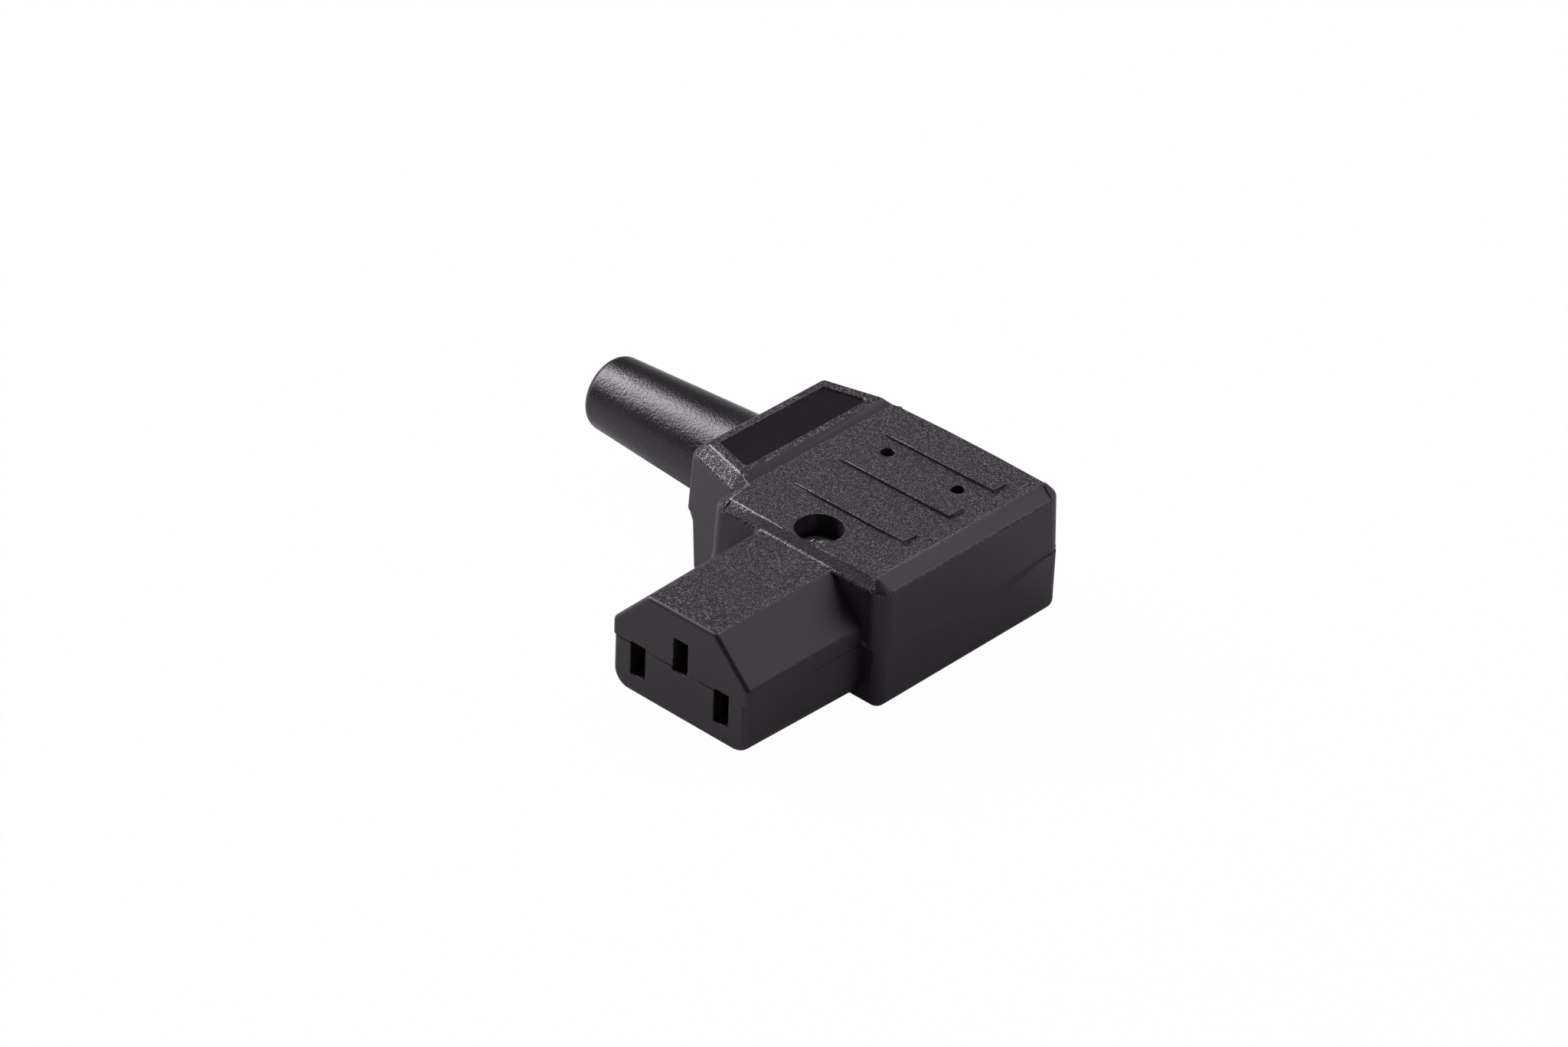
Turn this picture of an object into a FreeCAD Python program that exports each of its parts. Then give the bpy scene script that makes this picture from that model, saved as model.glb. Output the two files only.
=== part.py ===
import FreeCAD, Part
import math
import os

# Right-angled rewirable appliance connector with three pin sockets in its nose.
# Frame: the pins enter along +Y, the cord leaves along -X, Z is up.
# The origin lies on the underside, below the middle of the main block. All sizes are in millimetres.
# The housing's height and width are stacked up from the pieces that it holds.

# Walls
WALL = 1.8
FLOOR = 1.8
ROOF = 1.8
INNER_CORNER = 1.0
TONGUE_INSET = 0.9
TONGUE_HEIGHT = 0.8
TONGUE_CLEARANCE = 0.1

# Main block of the housing
BLOCK_LENGTH = 33.9
COVER_CORNER = 2.2
BASE_EDGE = 1.5
COVER_DRAFT = 0.3
BASE_STEP = 0.12
RIM_LIP = 0.14
RIM_LIP_HEIGHT = 0.8
SIDE_CHAMFER = 2.1
END_CHAMFER = 1.15
CHAMFER_DROP = 1.35
TOP_CORNER = 0.6

# Nose that goes into the appliance inlet, measured from the parting plane
NOSE_LENGTH = 19.95
NOSE_WIDTH = 22.8
NOSE_TAPER = 0.3
NOSE_BELOW = 7.45
NOSE_ABOVE = 8.0
NOSE_CHAMFER = 5.7
NOSE_BOTTOM_CORNER = 2.6
NOSE_EDGE = 1.0
NOSE_FACE_WALL = 1.6
BASE_FACE_EDGE = 1.1
COVER_FACE_EDGE = 0.6

# Pin layout of the three-pole socket
PIN_PITCH = 14.0
PIN_CENTRE_DROP = 0.1
EARTH_OFFSET = 4.0
SLOT_WIDTH = 2.4
SLOT_HEIGHT = 4.65

# Folded socket contacts
SHEET = 0.5
LEAF_HEIGHT = 4.4
LEAF_ROOT_GAP = 2.6
LEAF_PINCH_GAP = 1.7
LEAF_PINCH_HALF = 1.2
CONTACT_LENGTH = 15.0
CONTACT_ROOT_LENGTH = 6.0
CONTACT_SETBACK = 0.3
BEND_RADIUS = 0.3

# Steel spring clip round each contact
CLIP_SHEET = 0.3
CLIP_HEIGHT = 3.0
CLIP_SETBACK = 1.6
CLIP_BRIDGE = 3.0
CLIP_BEND_RADIUS = 0.12
CLIP_CLEARANCE = 0.06

# Tunnels in the nose that hold the contacts, and the bay where the earth tail steps aside
TUNNEL_CLEARANCE = 0.15
TUNNEL_HEADROOM = 0.25
EARTH_BAY_DEPTH = 4.2

# Contact tails, each a flat strip of the same sheet
TAIL_WIDTH = 3.0
TAIL_STEP_CLEARANCE = 0.35
EARTH_TAIL_NARROW = 2.0
EARTH_TAIL_GAP = 0.3

# Terminal blocks with their wire bores
TERMINAL_WIDTH = 5.6
TERMINAL_LENGTH = 6.0
TERMINAL_FLOOR = 1.2
TERMINAL_BORE_HEIGHT = 3.2
TERMINAL_BORE_WIDTH = 3.6
TERMINAL_TOP = 1.9
TERMINAL_EDGE = 0.4
TERMINAL_SIDE_GAP = 0.7
TERMINAL_HEADROOM = 1.2
PAD_HEIGHT = 1.0
POLE_TERMINAL_SETBACK = 2.15
EARTH_TERMINAL_GAP = 2.0
BARRIER_THICKNESS = 0.7
BARRIER_RISE = 1.3
BARRIER_CLEARANCE = 0.35

# Terminal screws
TERMINAL_SCREW_RADIUS = 1.5
TERMINAL_SCREW_LENGTH = 4.6
TERMINAL_SCREW_STAND = 0.5
TERMINAL_HEAD_RADIUS = 2.1
TERMINAL_HEAD_HEIGHT = 1.7
DRIVER_SLOT_WIDTH = 0.7
DRIVER_SLOT_DEPTH = 0.8
THREAD_CLEARANCE = 0.03

# Cover screw, its well, its pillar and its nut
COVER_SCREW_SETBACK = 4.45
HEAD_DEPTH = 2.5
COVER_HEAD_RADIUS = 2.8
COVER_HEAD_HEIGHT = 2.1
COVER_HEAD_EDGE = 0.7
COVER_SCREW_RADIUS = 1.5
COVER_SCREW_REACH = 0.1
SCREW_HOLE_CLEARANCE = 0.2
WELL_CLEARANCE = 0.37
WELL_WALL = 1.4
WELL_BOSS_DEPTH = 5.8
PILLAR_WALL = 1.3
NUT_ACROSS_FLATS = 5.5
NUT_THICKNESS = 2.4
NUT_POCKET_DEPTH = 4.2
NUT_CLEARANCE = 0.05
NUT_COLLAR_WALL = 1.0
CROSS_WIDTH = 0.75
CROSS_SPREAD = 3.3
CROSS_TAPER = 0.45
CROSS_DEPTH = 1.3
CROSS_TURN = 42.0

# Cord outlet: the neck of the housing
NECK_LENGTH = 9.85
NECK_END_HALF = 12.2
NECK_FRONT_SETBACK = 3.9
NECK_BACK_SETBACK = 0.1
NECK_ROOT_DEPTH = 2.75
NECK_RISE = 0.5
NECK_CHAMFER = 1.75
NECK_DRAFT = 0.35
BASE_NECK_DRAFT = 0.6
NECK_CORNER = 1.4
NECK_BOTTOM_EDGE = 0.9
NECK_TOP_CORNER = 0.5
RAMP_TOP_DEPTH = 0.45
RAMP_FOOT_DEPTH = 1.75
BASE_NECK_SETBACK = 1.05
BASE_FLARE_HEIGHT = 1.3
LABEL_END_INSET = 1.0
LABEL_ROOT_INSET = 1.25
LABEL_SIDE_INSET = 1.5
LABEL_DEPTH = 0.3
LABEL_CORNER = 0.4

# Cord and its soft sleeve
CORD_SHIFT = 0.3
CORD_RISE = 0.75
SLEEVE_LENGTH = 25.1
SLEEVE_TIP_RADIUS = 5.2
SLEEVE_ROOT_RADIUS = 6.5
SLEEVE_TIP_EDGE = 0.9
SLEEVE_BORE_RADIUS = 3.5
SLEEVE_GROOVE_DEPTH = 0.9
SLEEVE_FLANGE_STEP = 1.1
SLEEVE_FLANGE = 1.9
SLEEVE_CLEARANCE = 0.1

# Cord grip
GRIP_GAP = 1.8
GRIP_WIDTH = 4.6
GRIP_PASSAGE_RADIUS = 4.0
GRIP_ARCH = 1.4
GRIP_RIDGE = 0.4
GRIP_RIDGE_WIDTH = 1.0
GRIP_FOOT = 2.6
GRIP_FOOT_LIFT = 0.8
GRIP_SCREW_RADIUS = 1.2
GRIP_SCREW_LENGTH = 8.0
GRIP_SCREW_TIP_SPACE = 0.8
GRIP_HEAD_RADIUS = 2.0
GRIP_HEAD_HEIGHT = 1.6
GRIP_HEAD_EDGE = 0.5
GRIP_HEAD_CLEARANCE = 0.2
GRIP_BOSS_WALL = 0.75
GRIP_HOLE_CLEARANCE = 0.05
GRIP_CROSS_SPREAD = 2.4
GRIP_CROSS_DEPTH = 0.9

# Ribs and holes in the top of the cover
RIB_COUNT = 3
RIB_FRONT_SETBACK = 9.25
RIB_BACK_SETBACK = 8.05
RIB_SHIFT = 0.5
RIB_LENGTH = 18.2
RIB_WIDTH = 2.6
RIB_FRONT_HEIGHT = 0.45
RIB_BACK_HEIGHT = 0.35
VENT_RADIUS = 0.93
VENT_SPREAD = 5.9
VENT_SETBACK = 2.5

# Seam that stands a little open at the back corner away from the cord
SEAM_GAP = 0.6
SEAM_SIDE_LENGTH = 17.95
SEAM_BACK_LENGTH = 10.75

# Reach of a cut past the face that it opens
OVERCUT = 1.0

# Heights, stacked from the underside
pole_floor = FLOOR + PAD_HEIGHT + TERMINAL_FLOOR
pole_z = pole_floor + SHEET + LEAF_HEIGHT / 2
earth_z = pole_z + EARTH_OFFSET
earth_floor = pole_floor + EARTH_OFFSET
parting_z = pole_z + EARTH_OFFSET / 2 + PIN_CENTRE_DROP
terminal_rise = TERMINAL_BORE_HEIGHT + TERMINAL_TOP
screw_rise = terminal_rise + TERMINAL_SCREW_STAND + TERMINAL_HEAD_HEIGHT
groove_radius = SLEEVE_ROOT_RADIUS - SLEEVE_GROOVE_DEPTH
flange_radius = groove_radius + SLEEVE_FLANGE_STEP
flange_space = flange_radius + SLEEVE_CLEARANCE
cord_z = max(parting_z + CORD_RISE, FLOOR + flange_space)
ceiling = max(earth_floor + screw_rise + TERMINAL_HEADROOM, cord_z + flange_space)
block_top = ceiling + ROOF
shoulder_z = block_top - CHAMFER_DROP
neck_top = block_top + NECK_RISE
neck_shoulder_z = neck_top - NECK_CHAMFER
nose_bottom = parting_z - NOSE_BELOW
nose_top = parting_z + NOSE_ABOVE
head_top = block_top - HEAD_DEPTH
head_seat = head_top - COVER_HEAD_HEIGHT
nut_low = NUT_POCKET_DEPTH - NUT_THICKNESS
grip_boss_top = cord_z + GRIP_FOOT_LIFT
grip_foot_top = grip_boss_top + GRIP_FOOT

# Places across the housing, stacked from the middle
pole_x = PIN_PITCH / 2
tunnel_half = LEAF_ROOT_GAP / 2 + SHEET + CLIP_CLEARANCE + CLIP_SHEET + TUNNEL_CLEARANCE
tunnel_top = LEAF_HEIGHT / 2 + CLIP_CLEARANCE + CLIP_SHEET + TUNNEL_HEADROOM
screw_hole_radius = COVER_SCREW_RADIUS + SCREW_HOLE_CLEARANCE
pillar_radius = screw_hole_radius + PILLAR_WALL
earth_tail_x = pillar_radius + EARTH_TAIL_GAP + EARTH_TAIL_NARROW / 2
earth_bay_edge = earth_tail_x + EARTH_TAIL_NARROW / 2 + EARTH_TAIL_GAP
barrier_edge = earth_bay_edge + BARRIER_THICKNESS
pole_terminal_x = barrier_edge + BARRIER_CLEARANCE + TERMINAL_WIDTH / 2
block_side = pole_terminal_x + TERMINAL_WIDTH / 2 + TERMINAL_SIDE_GAP + WALL

# Places along the pins
block_front = -BLOCK_LENGTH / 2
block_back = BLOCK_LENGTH / 2
inner_front = block_front + WALL
nose_face = block_front - NOSE_LENGTH
contact_front = nose_face + NOSE_FACE_WALL + CONTACT_SETBACK
contact_back = contact_front + CONTACT_LENGTH
leaf_back = contact_back - CONTACT_ROOT_LENGTH
cover_screw_y = block_front + COVER_SCREW_SETBACK
pillar_back = cover_screw_y + pillar_radius
pole_terminal_y = inner_front + POLE_TERMINAL_SETBACK
earth_terminal_y = pillar_back + EARTH_TERMINAL_GAP
rib_pitch = (BLOCK_LENGTH - RIB_FRONT_SETBACK - RIB_BACK_SETBACK) / max(RIB_COUNT - 1, 1)

# Places along the cord
neck_end_x = -block_side - NECK_LENGTH
neck_root_x = -block_side + NECK_ROOT_DEPTH
neck_front_y = block_front + NECK_FRONT_SETBACK
neck_back_y = block_back - NECK_BACK_SETBACK
neck_centre_y = (neck_front_y + neck_back_y) / 2
neck_root_half = (neck_back_y - neck_front_y) / 2
neck_slope = (neck_root_half - NECK_END_HALF) / NECK_LENGTH
neck_lean = math.cos(math.atan(neck_slope))
neck_wall_inside = neck_end_x + WALL
ramp_top_x = -block_side + RAMP_TOP_DEPTH
ramp_foot_x = -block_side + RAMP_FOOT_DEPTH
cord_y = neck_centre_y - CORD_SHIFT
sleeve_shoulder_x = neck_end_x - SLEEVE_CLEARANCE
groove_end_x = neck_wall_inside + SLEEVE_CLEARANCE
flange_end_x = groove_end_x + SLEEVE_FLANGE
grip_x = flange_end_x + GRIP_GAP + GRIP_WIDTH / 2
grip_low_x = grip_x - GRIP_WIDTH / 2
grip_high_x = grip_x + GRIP_WIDTH / 2
arch_radius = GRIP_PASSAGE_RADIUS + GRIP_ARCH
arch_half = math.sqrt(arch_radius ** 2 - (grip_foot_top - cord_z) ** 2)
grip_screw_spread = arch_half + GRIP_HEAD_RADIUS + GRIP_HEAD_CLEARANCE


def vec(x, y, z):
    return FreeCAD.Vector(x, y, z)


def box(x_low, x_high, y_low, y_high, z_low, z_high):
    corner = vec(x_low, y_low, z_low)
    return Part.makeBox(x_high - x_low, y_high - y_low, z_high - z_low, corner)


def cylinder(radius, x, y, z_low, z_high):
    return Part.makeCylinder(radius, z_high - z_low, vec(x, y, z_low))


def cord_cylinder(radius, x_low, x_high):
    """A cylinder about the cord's axis."""
    return Part.makeCylinder(radius, x_high - x_low, vec(x_low, cord_y, cord_z), vec(1, 0, 0))


def fused(shapes):
    return shapes[0].multiFuse(shapes[1:]).removeSplitter()


def corner_points(before, corner, after, radius):
    """Start, middle and end of the arc that rounds a corner, or the corner alone where it is sharp."""
    tip = vec(corner[0], corner[1], 0)
    if radius == 0:
        return [tip]
    back = vec(before[0] - corner[0], before[1] - corner[1], 0).normalize()
    ahead = vec(after[0] - corner[0], after[1] - corner[1], 0).normalize()
    half_angle = back.getAngle(ahead) / 2
    reach = radius / math.tan(half_angle)
    depth = radius / math.sin(half_angle) - radius
    inward = (back + ahead).normalize()
    return [tip + back * reach, tip + inward * depth, tip + ahead * reach]


def rounded_wire(corners, radii, place):
    """A closed outline of straight runs and corner arcs; place turns (u, v) into a point in space."""
    rounds = []
    for index, (corner, radius) in enumerate(zip(corners, radii)):
        after = corners[(index + 1) % len(corners)]
        flat = corner_points(corners[index - 1], corner, after, radius)
        rounds.append([place(point.x, point.y) for point in flat])
    edges = []
    for index, points in enumerate(rounds):
        if len(points) > 1:
            edges.append(Part.Arc(*points).toShape())
        following = rounds[(index + 1) % len(rounds)][0]
        edges.append(Part.LineSegment(points[-1], following).toShape())
    return Part.Wire(edges)


def plan(z):
    """Places an outline flat at a height."""
    return lambda u, v: vec(u, v, z)


def upright(y):
    """Places an outline upright, facing along the pins."""
    return lambda u, v: vec(u, y, v)


def prism(corners, radii, place, direction):
    return Part.Face(rounded_wire(corners, radii, place)).extrude(direction)


def sharp_prism(points, direction):
    return Part.Face(Part.makePolygon(points + points[:1])).extrude(direction)


def lofted(wires):
    return Part.makeLoft(wires, True, True)


def solid_of_faces(outlines):
    """A closed solid of flat faces, each given by its corner points."""
    faces = [Part.Face(Part.makePolygon(points + points[:1])) for points in outlines]
    solid = Part.Solid(Part.Shell(faces))
    if solid.Volume < 0:
        solid.reverse()
    return solid


def tapered_prism(near, far):
    """A solid with flat sides between two outlines whose sides run parallel."""
    outlines = [near, far]
    for index in range(len(near)):
        outlines.append([near[index - 1], near[index], far[index], far[index - 1]])
    return solid_of_faces(outlines)


# Outlines of the housing
def block_section(z, side_inset, end_inset, corner):
    side = block_side - side_inset
    end = block_back - end_inset
    corners = [(-side, -end), (side, -end), (side, end), (-side, end)]
    return rounded_wire(corners, [corner] * 4, plan(z))


def neck_corners(end_inset, side_inset):
    """The neck in plan: straight beside the block, then tapering to its end, anticlockwise."""
    end_x = neck_end_x + end_inset
    root_half = neck_root_half - side_inset
    end_half = NECK_END_HALF + end_inset * neck_slope - side_inset
    return [
        (neck_root_x, neck_centre_y - root_half),
        (neck_root_x, neck_centre_y + root_half),
        (-block_side, neck_centre_y + root_half),
        (end_x, neck_centre_y + end_half),
        (end_x, neck_centre_y - end_half),
        (-block_side, neck_centre_y - root_half),
    ]


def neck_section(z, end_inset, side_inset, corner):
    return rounded_wire(neck_corners(end_inset, side_inset), [corner] * 6, plan(z))


def footprint(inset, z_low, z_high):
    """The block and neck in plan, inset all round, between two heights."""
    rise = vec(0, 0, z_high - z_low)
    block = Part.Face(block_section(z_low, inset, inset, INNER_CORNER)).extrude(rise)
    neck = Part.Face(neck_section(z_low, inset, inset / neck_lean, INNER_CORNER)).extrude(rise)
    return fused([block, neck])


# Nose
def nose_corners(y, swell):
    """The nose's sharp outline at one place along the pins, swollen all round."""
    side = NOSE_WIDTH / 2 + swell
    low = nose_bottom - swell
    high = nose_top + swell
    flat = side - NOSE_CHAMFER
    foot = high - NOSE_CHAMFER
    corners = [(-side, low), (side, low), (side, foot), (flat, high), (-flat, high), (-side, foot)]
    return [vec(x, y, z) for x, z in corners]


def nose_solid(face_edge):
    nose = tapered_prism(nose_corners(nose_face, 0), nose_corners(block_front + WALL / 2, NOSE_TAPER))
    long_edges = [edge for edge in nose.Edges if edge.BoundBox.YLength > NOSE_LENGTH / 2]
    nose = nose.makeFillet(NOSE_EDGE, [edge for edge in long_edges if edge.BoundBox.ZMin > parting_z])
    low_edges = [edge for edge in nose.Edges if edge.BoundBox.YLength > NOSE_LENGTH / 2]
    low_edges = [edge for edge in low_edges if edge.BoundBox.ZMax < nose_bottom + NOSE_EDGE]
    nose = nose.makeFillet(NOSE_BOTTOM_CORNER, low_edges)
    front = [edge for edge in nose.Edges if edge.BoundBox.YMax < nose_face + face_edge / 10]
    return nose.makeFillet(face_edge, front)


def nose_part(face_edge, z_low, z_high):
    reach = BLOCK_LENGTH + NOSE_LENGTH
    return nose_solid(face_edge).common(box(-reach, reach, -reach, reach, z_low, z_high))


def socket_axes():
    return [(-pole_x, pole_z), (pole_x, pole_z), (0, earth_z)]


def contact_floor(z):
    return z - LEAF_HEIGHT / 2 - SHEET


def pin_slots():
    slots = []
    half = SLOT_WIDTH / 2
    back = nose_face + NOSE_FACE_WALL + OVERCUT
    for x, z in socket_axes():
        low = z - SLOT_HEIGHT / 2
        slots.append(box(x - half, x + half, nose_face - OVERCUT, back, low, low + SLOT_HEIGHT))
    return slots


def contact_tunnels():
    tunnels = []
    front = nose_face + NOSE_FACE_WALL
    back = inner_front + OVERCUT
    for x, z in socket_axes():
        tunnels.append(box(x - tunnel_half, x + tunnel_half, front, back, contact_floor(z), z + tunnel_top))
    bay_front = inner_front - EARTH_BAY_DEPTH
    tunnels.append(box(0, earth_bay_edge, bay_front, back, earth_floor, earth_z + tunnel_top))
    return tunnels


def cord_opening():
    """The round way that the sleeve's groove leaves through the end wall of the neck."""
    radius = groove_radius + SLEEVE_CLEARANCE
    return cord_cylinder(radius, neck_end_x - OVERCUT, neck_wall_inside + OVERCUT)


def tongue_ring(clearance):
    """The ridge along the base's inner rim, or with a clearance the groove that takes it."""
    high = parting_z + TONGUE_HEIGHT + clearance
    outer = footprint(TONGUE_INSET - clearance, parting_z, high)
    return outer.cut(footprint(WALL, parting_z, high))


# Base
def base_outside():
    side = block_side - BASE_STEP
    end = block_back - BASE_STEP
    block = box(-side, side, -end, end, 0, parting_z)
    block = block.makeFillet(BASE_EDGE, [edge for edge in block.Edges if edge.BoundBox.ZMin < parting_z / 2])
    flare_foot = parting_z - BASE_FLARE_HEIGHT
    bottom_inset = BASE_NECK_SETBACK + BASE_NECK_DRAFT
    neck = lofted([
        neck_section(0, bottom_inset + NECK_BOTTOM_EDGE, BASE_STEP + NECK_BOTTOM_EDGE, NECK_CORNER),
        neck_section(NECK_BOTTOM_EDGE, bottom_inset, BASE_STEP, NECK_CORNER),
        neck_section(flare_foot, BASE_NECK_SETBACK, BASE_STEP, NECK_CORNER),
        neck_section(parting_z, BASE_STEP, BASE_STEP, NECK_CORNER),
    ])
    return fused([block, neck, nose_part(BASE_FACE_EDGE, 0, parting_z)])


def base_pillar():
    collar_flats = NUT_ACROSS_FLATS + 2 * NUT_CLEARANCE + 2 * NUT_COLLAR_WALL
    collar = hexagon_prism(collar_flats, 0, cover_screw_y, FLOOR / 2, NUT_POCKET_DEPTH + NUT_COLLAR_WALL)
    pillar = cylinder(pillar_radius, 0, cover_screw_y, FLOOR / 2, parting_z)
    return [collar, pillar]


def terminal_barriers():
    """Upright ribs between the cover screw's pillar and the two pole terminals."""
    front = pole_terminal_y - BARRIER_CLEARANCE
    back = pole_terminal_y + TERMINAL_LENGTH
    top = pole_floor + terminal_rise + BARRIER_RISE
    right = box(earth_bay_edge, barrier_edge, front, back, FLOOR / 2, top)
    return [right, right.mirror(vec(0, 0, 0), vec(1, 0, 0))]


def terminal_pads():
    """Raised floors that the three terminal blocks stand on."""
    half = TERMINAL_WIDTH / 2
    pads = []
    for x, y, floor in terminal_places().values():
        pads.append(box(x - half, x + half, y, y + TERMINAL_LENGTH, FLOOR / 2, floor - TERMINAL_FLOOR))
    return pads


def grip_screw_places():
    return [cord_y - grip_screw_spread, cord_y + grip_screw_spread]


def cord_saddle():
    """The trough below the cord in the neck, between the two bosses for the grip's screws."""
    low_y, high_y = grip_screw_places()
    half = GRIP_SCREW_RADIUS + GRIP_HOLE_CLEARANCE + GRIP_BOSS_WALL
    rib = box(grip_low_x, grip_high_x, low_y, high_y, FLOOR / 2, cord_z)
    bosses = []
    for y in (low_y, high_y):
        bosses.append(box(grip_x - half, grip_x + half, y - half, y + half, FLOOR / 2, grip_boss_top))
    trough = cord_cylinder(GRIP_PASSAGE_RADIUS, grip_low_x - OVERCUT, grip_high_x + OVERCUT)
    return fused([rib] + bosses).cut(trough)


def grip_screw_holes():
    radius = GRIP_SCREW_RADIUS + GRIP_HOLE_CLEARANCE
    bottom = grip_foot_top - GRIP_SCREW_LENGTH - GRIP_SCREW_TIP_SPACE
    return [cylinder(radius, grip_x, y, bottom, grip_boss_top + OVERCUT) for y in grip_screw_places()]


def hexagon_prism(across_flats, x, y, z_low, z_high):
    radius = across_flats / 2 / math.cos(math.radians(30))
    points = []
    for step in range(6):
        angle = math.radians(60 * step)
        points.append(vec(x + radius * math.cos(angle), y + radius * math.sin(angle), z_low))
    return sharp_prism(points, vec(0, 0, z_high - z_low))


def base_shell():
    shell = base_outside()
    shell = shell.cut(footprint(WALL, FLOOR, parting_z + OVERCUT))
    shell = fused([shell, tongue_ring(0)])
    shell = shell.cut(pin_slots() + contact_tunnels() + [cord_opening()])
    shell = fused([shell] + base_pillar() + terminal_barriers() + terminal_pads() + [cord_saddle()])
    pocket = hexagon_prism(NUT_ACROSS_FLATS + 2 * NUT_CLEARANCE, 0, cover_screw_y, -OVERCUT, NUT_POCKET_DEPTH)
    screw_hole = cylinder(screw_hole_radius, 0, cover_screw_y, 0, parting_z + OVERCUT)
    return shell.cut([pocket, screw_hole] + grip_screw_holes()).removeSplitter()


# Cover
def ramp_cut():
    """What lies above the slope from the neck's raised top down to the top of the block."""
    cut_end = neck_root_x + OVERCUT
    reach = BLOCK_LENGTH
    points = [
        vec(ramp_top_x, -reach, neck_top),
        vec(ramp_foot_x, -reach, block_top),
        vec(cut_end, -reach, block_top),
        vec(cut_end, -reach, neck_top + OVERCUT),
        vec(ramp_top_x, -reach, neck_top + OVERCUT),
    ]
    return sharp_prism(points, vec(0, 2 * reach, 0))


def cover_outside():
    end_draft = COVER_DRAFT / 2
    block = lofted([
        block_section(parting_z, -RIM_LIP, -RIM_LIP, COVER_CORNER),
        block_section(parting_z + RIM_LIP_HEIGHT, 0, 0, COVER_CORNER),
        block_section(shoulder_z, COVER_DRAFT, end_draft, COVER_CORNER),
        block_section(block_top, COVER_DRAFT + SIDE_CHAMFER, end_draft + END_CHAMFER, TOP_CORNER),
    ])
    top_inset = NECK_DRAFT + NECK_CHAMFER
    neck = lofted([
        neck_section(parting_z, 0, 0, NECK_CORNER),
        neck_section(neck_shoulder_z, NECK_DRAFT, NECK_DRAFT, NECK_CORNER),
        neck_section(neck_top, top_inset, top_inset, NECK_TOP_CORNER),
    ])
    neck = neck.cut(ramp_cut())
    return fused([block, neck, nose_part(COVER_FACE_EDGE, parting_z, nose_top + OVERCUT)])


def label_recess():
    """A bare shallow recess in the raised top of the neck."""
    edge_inset = NECK_DRAFT + NECK_CHAMFER
    end_inset = edge_inset + LABEL_END_INSET
    outline = neck_corners(end_inset, edge_inset + LABEL_SIDE_INSET)
    high_end, low_end = outline[3:5]
    root_x = ramp_top_x - LABEL_ROOT_INSET
    spread = (root_x - high_end[0]) * neck_slope
    corners = [(root_x, low_end[1] - spread), (root_x, high_end[1] + spread), high_end, low_end]
    depth = neck_top - LABEL_DEPTH
    return prism(corners, [LABEL_CORNER] * 4, plan(depth), vec(0, 0, LABEL_DEPTH + OVERCUT))


def rib_front(number):
    return block_front + RIB_FRONT_SETBACK + number * rib_pitch


def grip_ribs():
    """Low bars across the top, highest on the side towards the nose, for a thumb to pull on."""
    ribs = []
    left = RIB_SHIFT - RIB_LENGTH / 2
    foot = block_top - ROOF / 2
    for number in range(RIB_COUNT):
        front = rib_front(number)
        points = [
            vec(left, front, foot),
            vec(left, front + RIB_WIDTH, foot),
            vec(left, front + RIB_WIDTH, block_top + RIB_BACK_HEIGHT),
            vec(left, front, block_top + RIB_FRONT_HEIGHT),
        ]
        ribs.append(sharp_prism(points, vec(RIB_LENGTH, 0, 0)))
    return ribs


def well_radius():
    return COVER_HEAD_RADIUS + WELL_CLEARANCE


def cover_pillar():
    """The pillar that meets the base's, and the wider boss round the well of the screw."""
    boss_radius = well_radius() + WELL_WALL
    root = block_top - ROOF / 2
    boss = cylinder(boss_radius, 0, cover_screw_y, block_top - WELL_BOSS_DEPTH, root)
    pillar = cylinder(pillar_radius, 0, cover_screw_y, parting_z, root)
    beyond_wall = box(-boss_radius, boss_radius, nose_face, block_front + WALL / 2, 0, block_top)
    return [boss.cut(beyond_wall), pillar]


def cover_holes():
    well = cylinder(well_radius(), 0, cover_screw_y, head_seat, block_top + OVERCUT)
    screw_hole = cylinder(screw_hole_radius, 0, cover_screw_y, 0, block_top)
    vent_y = rib_front(RIB_COUNT - 1) - VENT_SETBACK
    vents = []
    for x in (-VENT_SPREAD, VENT_SPREAD):
        vents.append(cylinder(VENT_RADIUS, x, vent_y, ceiling - OVERCUT, block_top + OVERCUT))
    return [well, screw_hole] + vents


def open_seam():
    """A thin wedge out of the cover's rim, widest at the back corner on the side away from the cord."""
    side = block_side + WALL
    back = block_back + WALL
    corner = vec(side, back, parting_z)
    lifted = vec(side, back, parting_z + SEAM_GAP)
    along_side = vec(side, block_back - SEAM_SIDE_LENGTH, parting_z)
    along_back = vec(block_side - SEAM_BACK_LENGTH, back, parting_z)
    triangles = [
        [corner, lifted, along_side],
        [corner, lifted, along_back],
        [corner, along_side, along_back],
        [lifted, along_side, along_back],
    ]
    wedge = solid_of_faces(triangles)
    keep = footprint(TONGUE_INSET - TONGUE_CLEARANCE, parting_z, parting_z + SEAM_GAP)
    return wedge.cut(keep)


def cover_shell():
    shell = cover_outside()
    shell = shell.cut(footprint(WALL, parting_z - OVERCUT, ceiling))
    shell = shell.cut([tongue_ring(TONGUE_CLEARANCE), cord_opening()] + pin_slots() + contact_tunnels())
    shell = fused([shell] + cover_pillar() + grip_ribs())
    return shell.cut(cover_holes() + [label_recess(), open_seam()]).removeSplitter()


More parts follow.
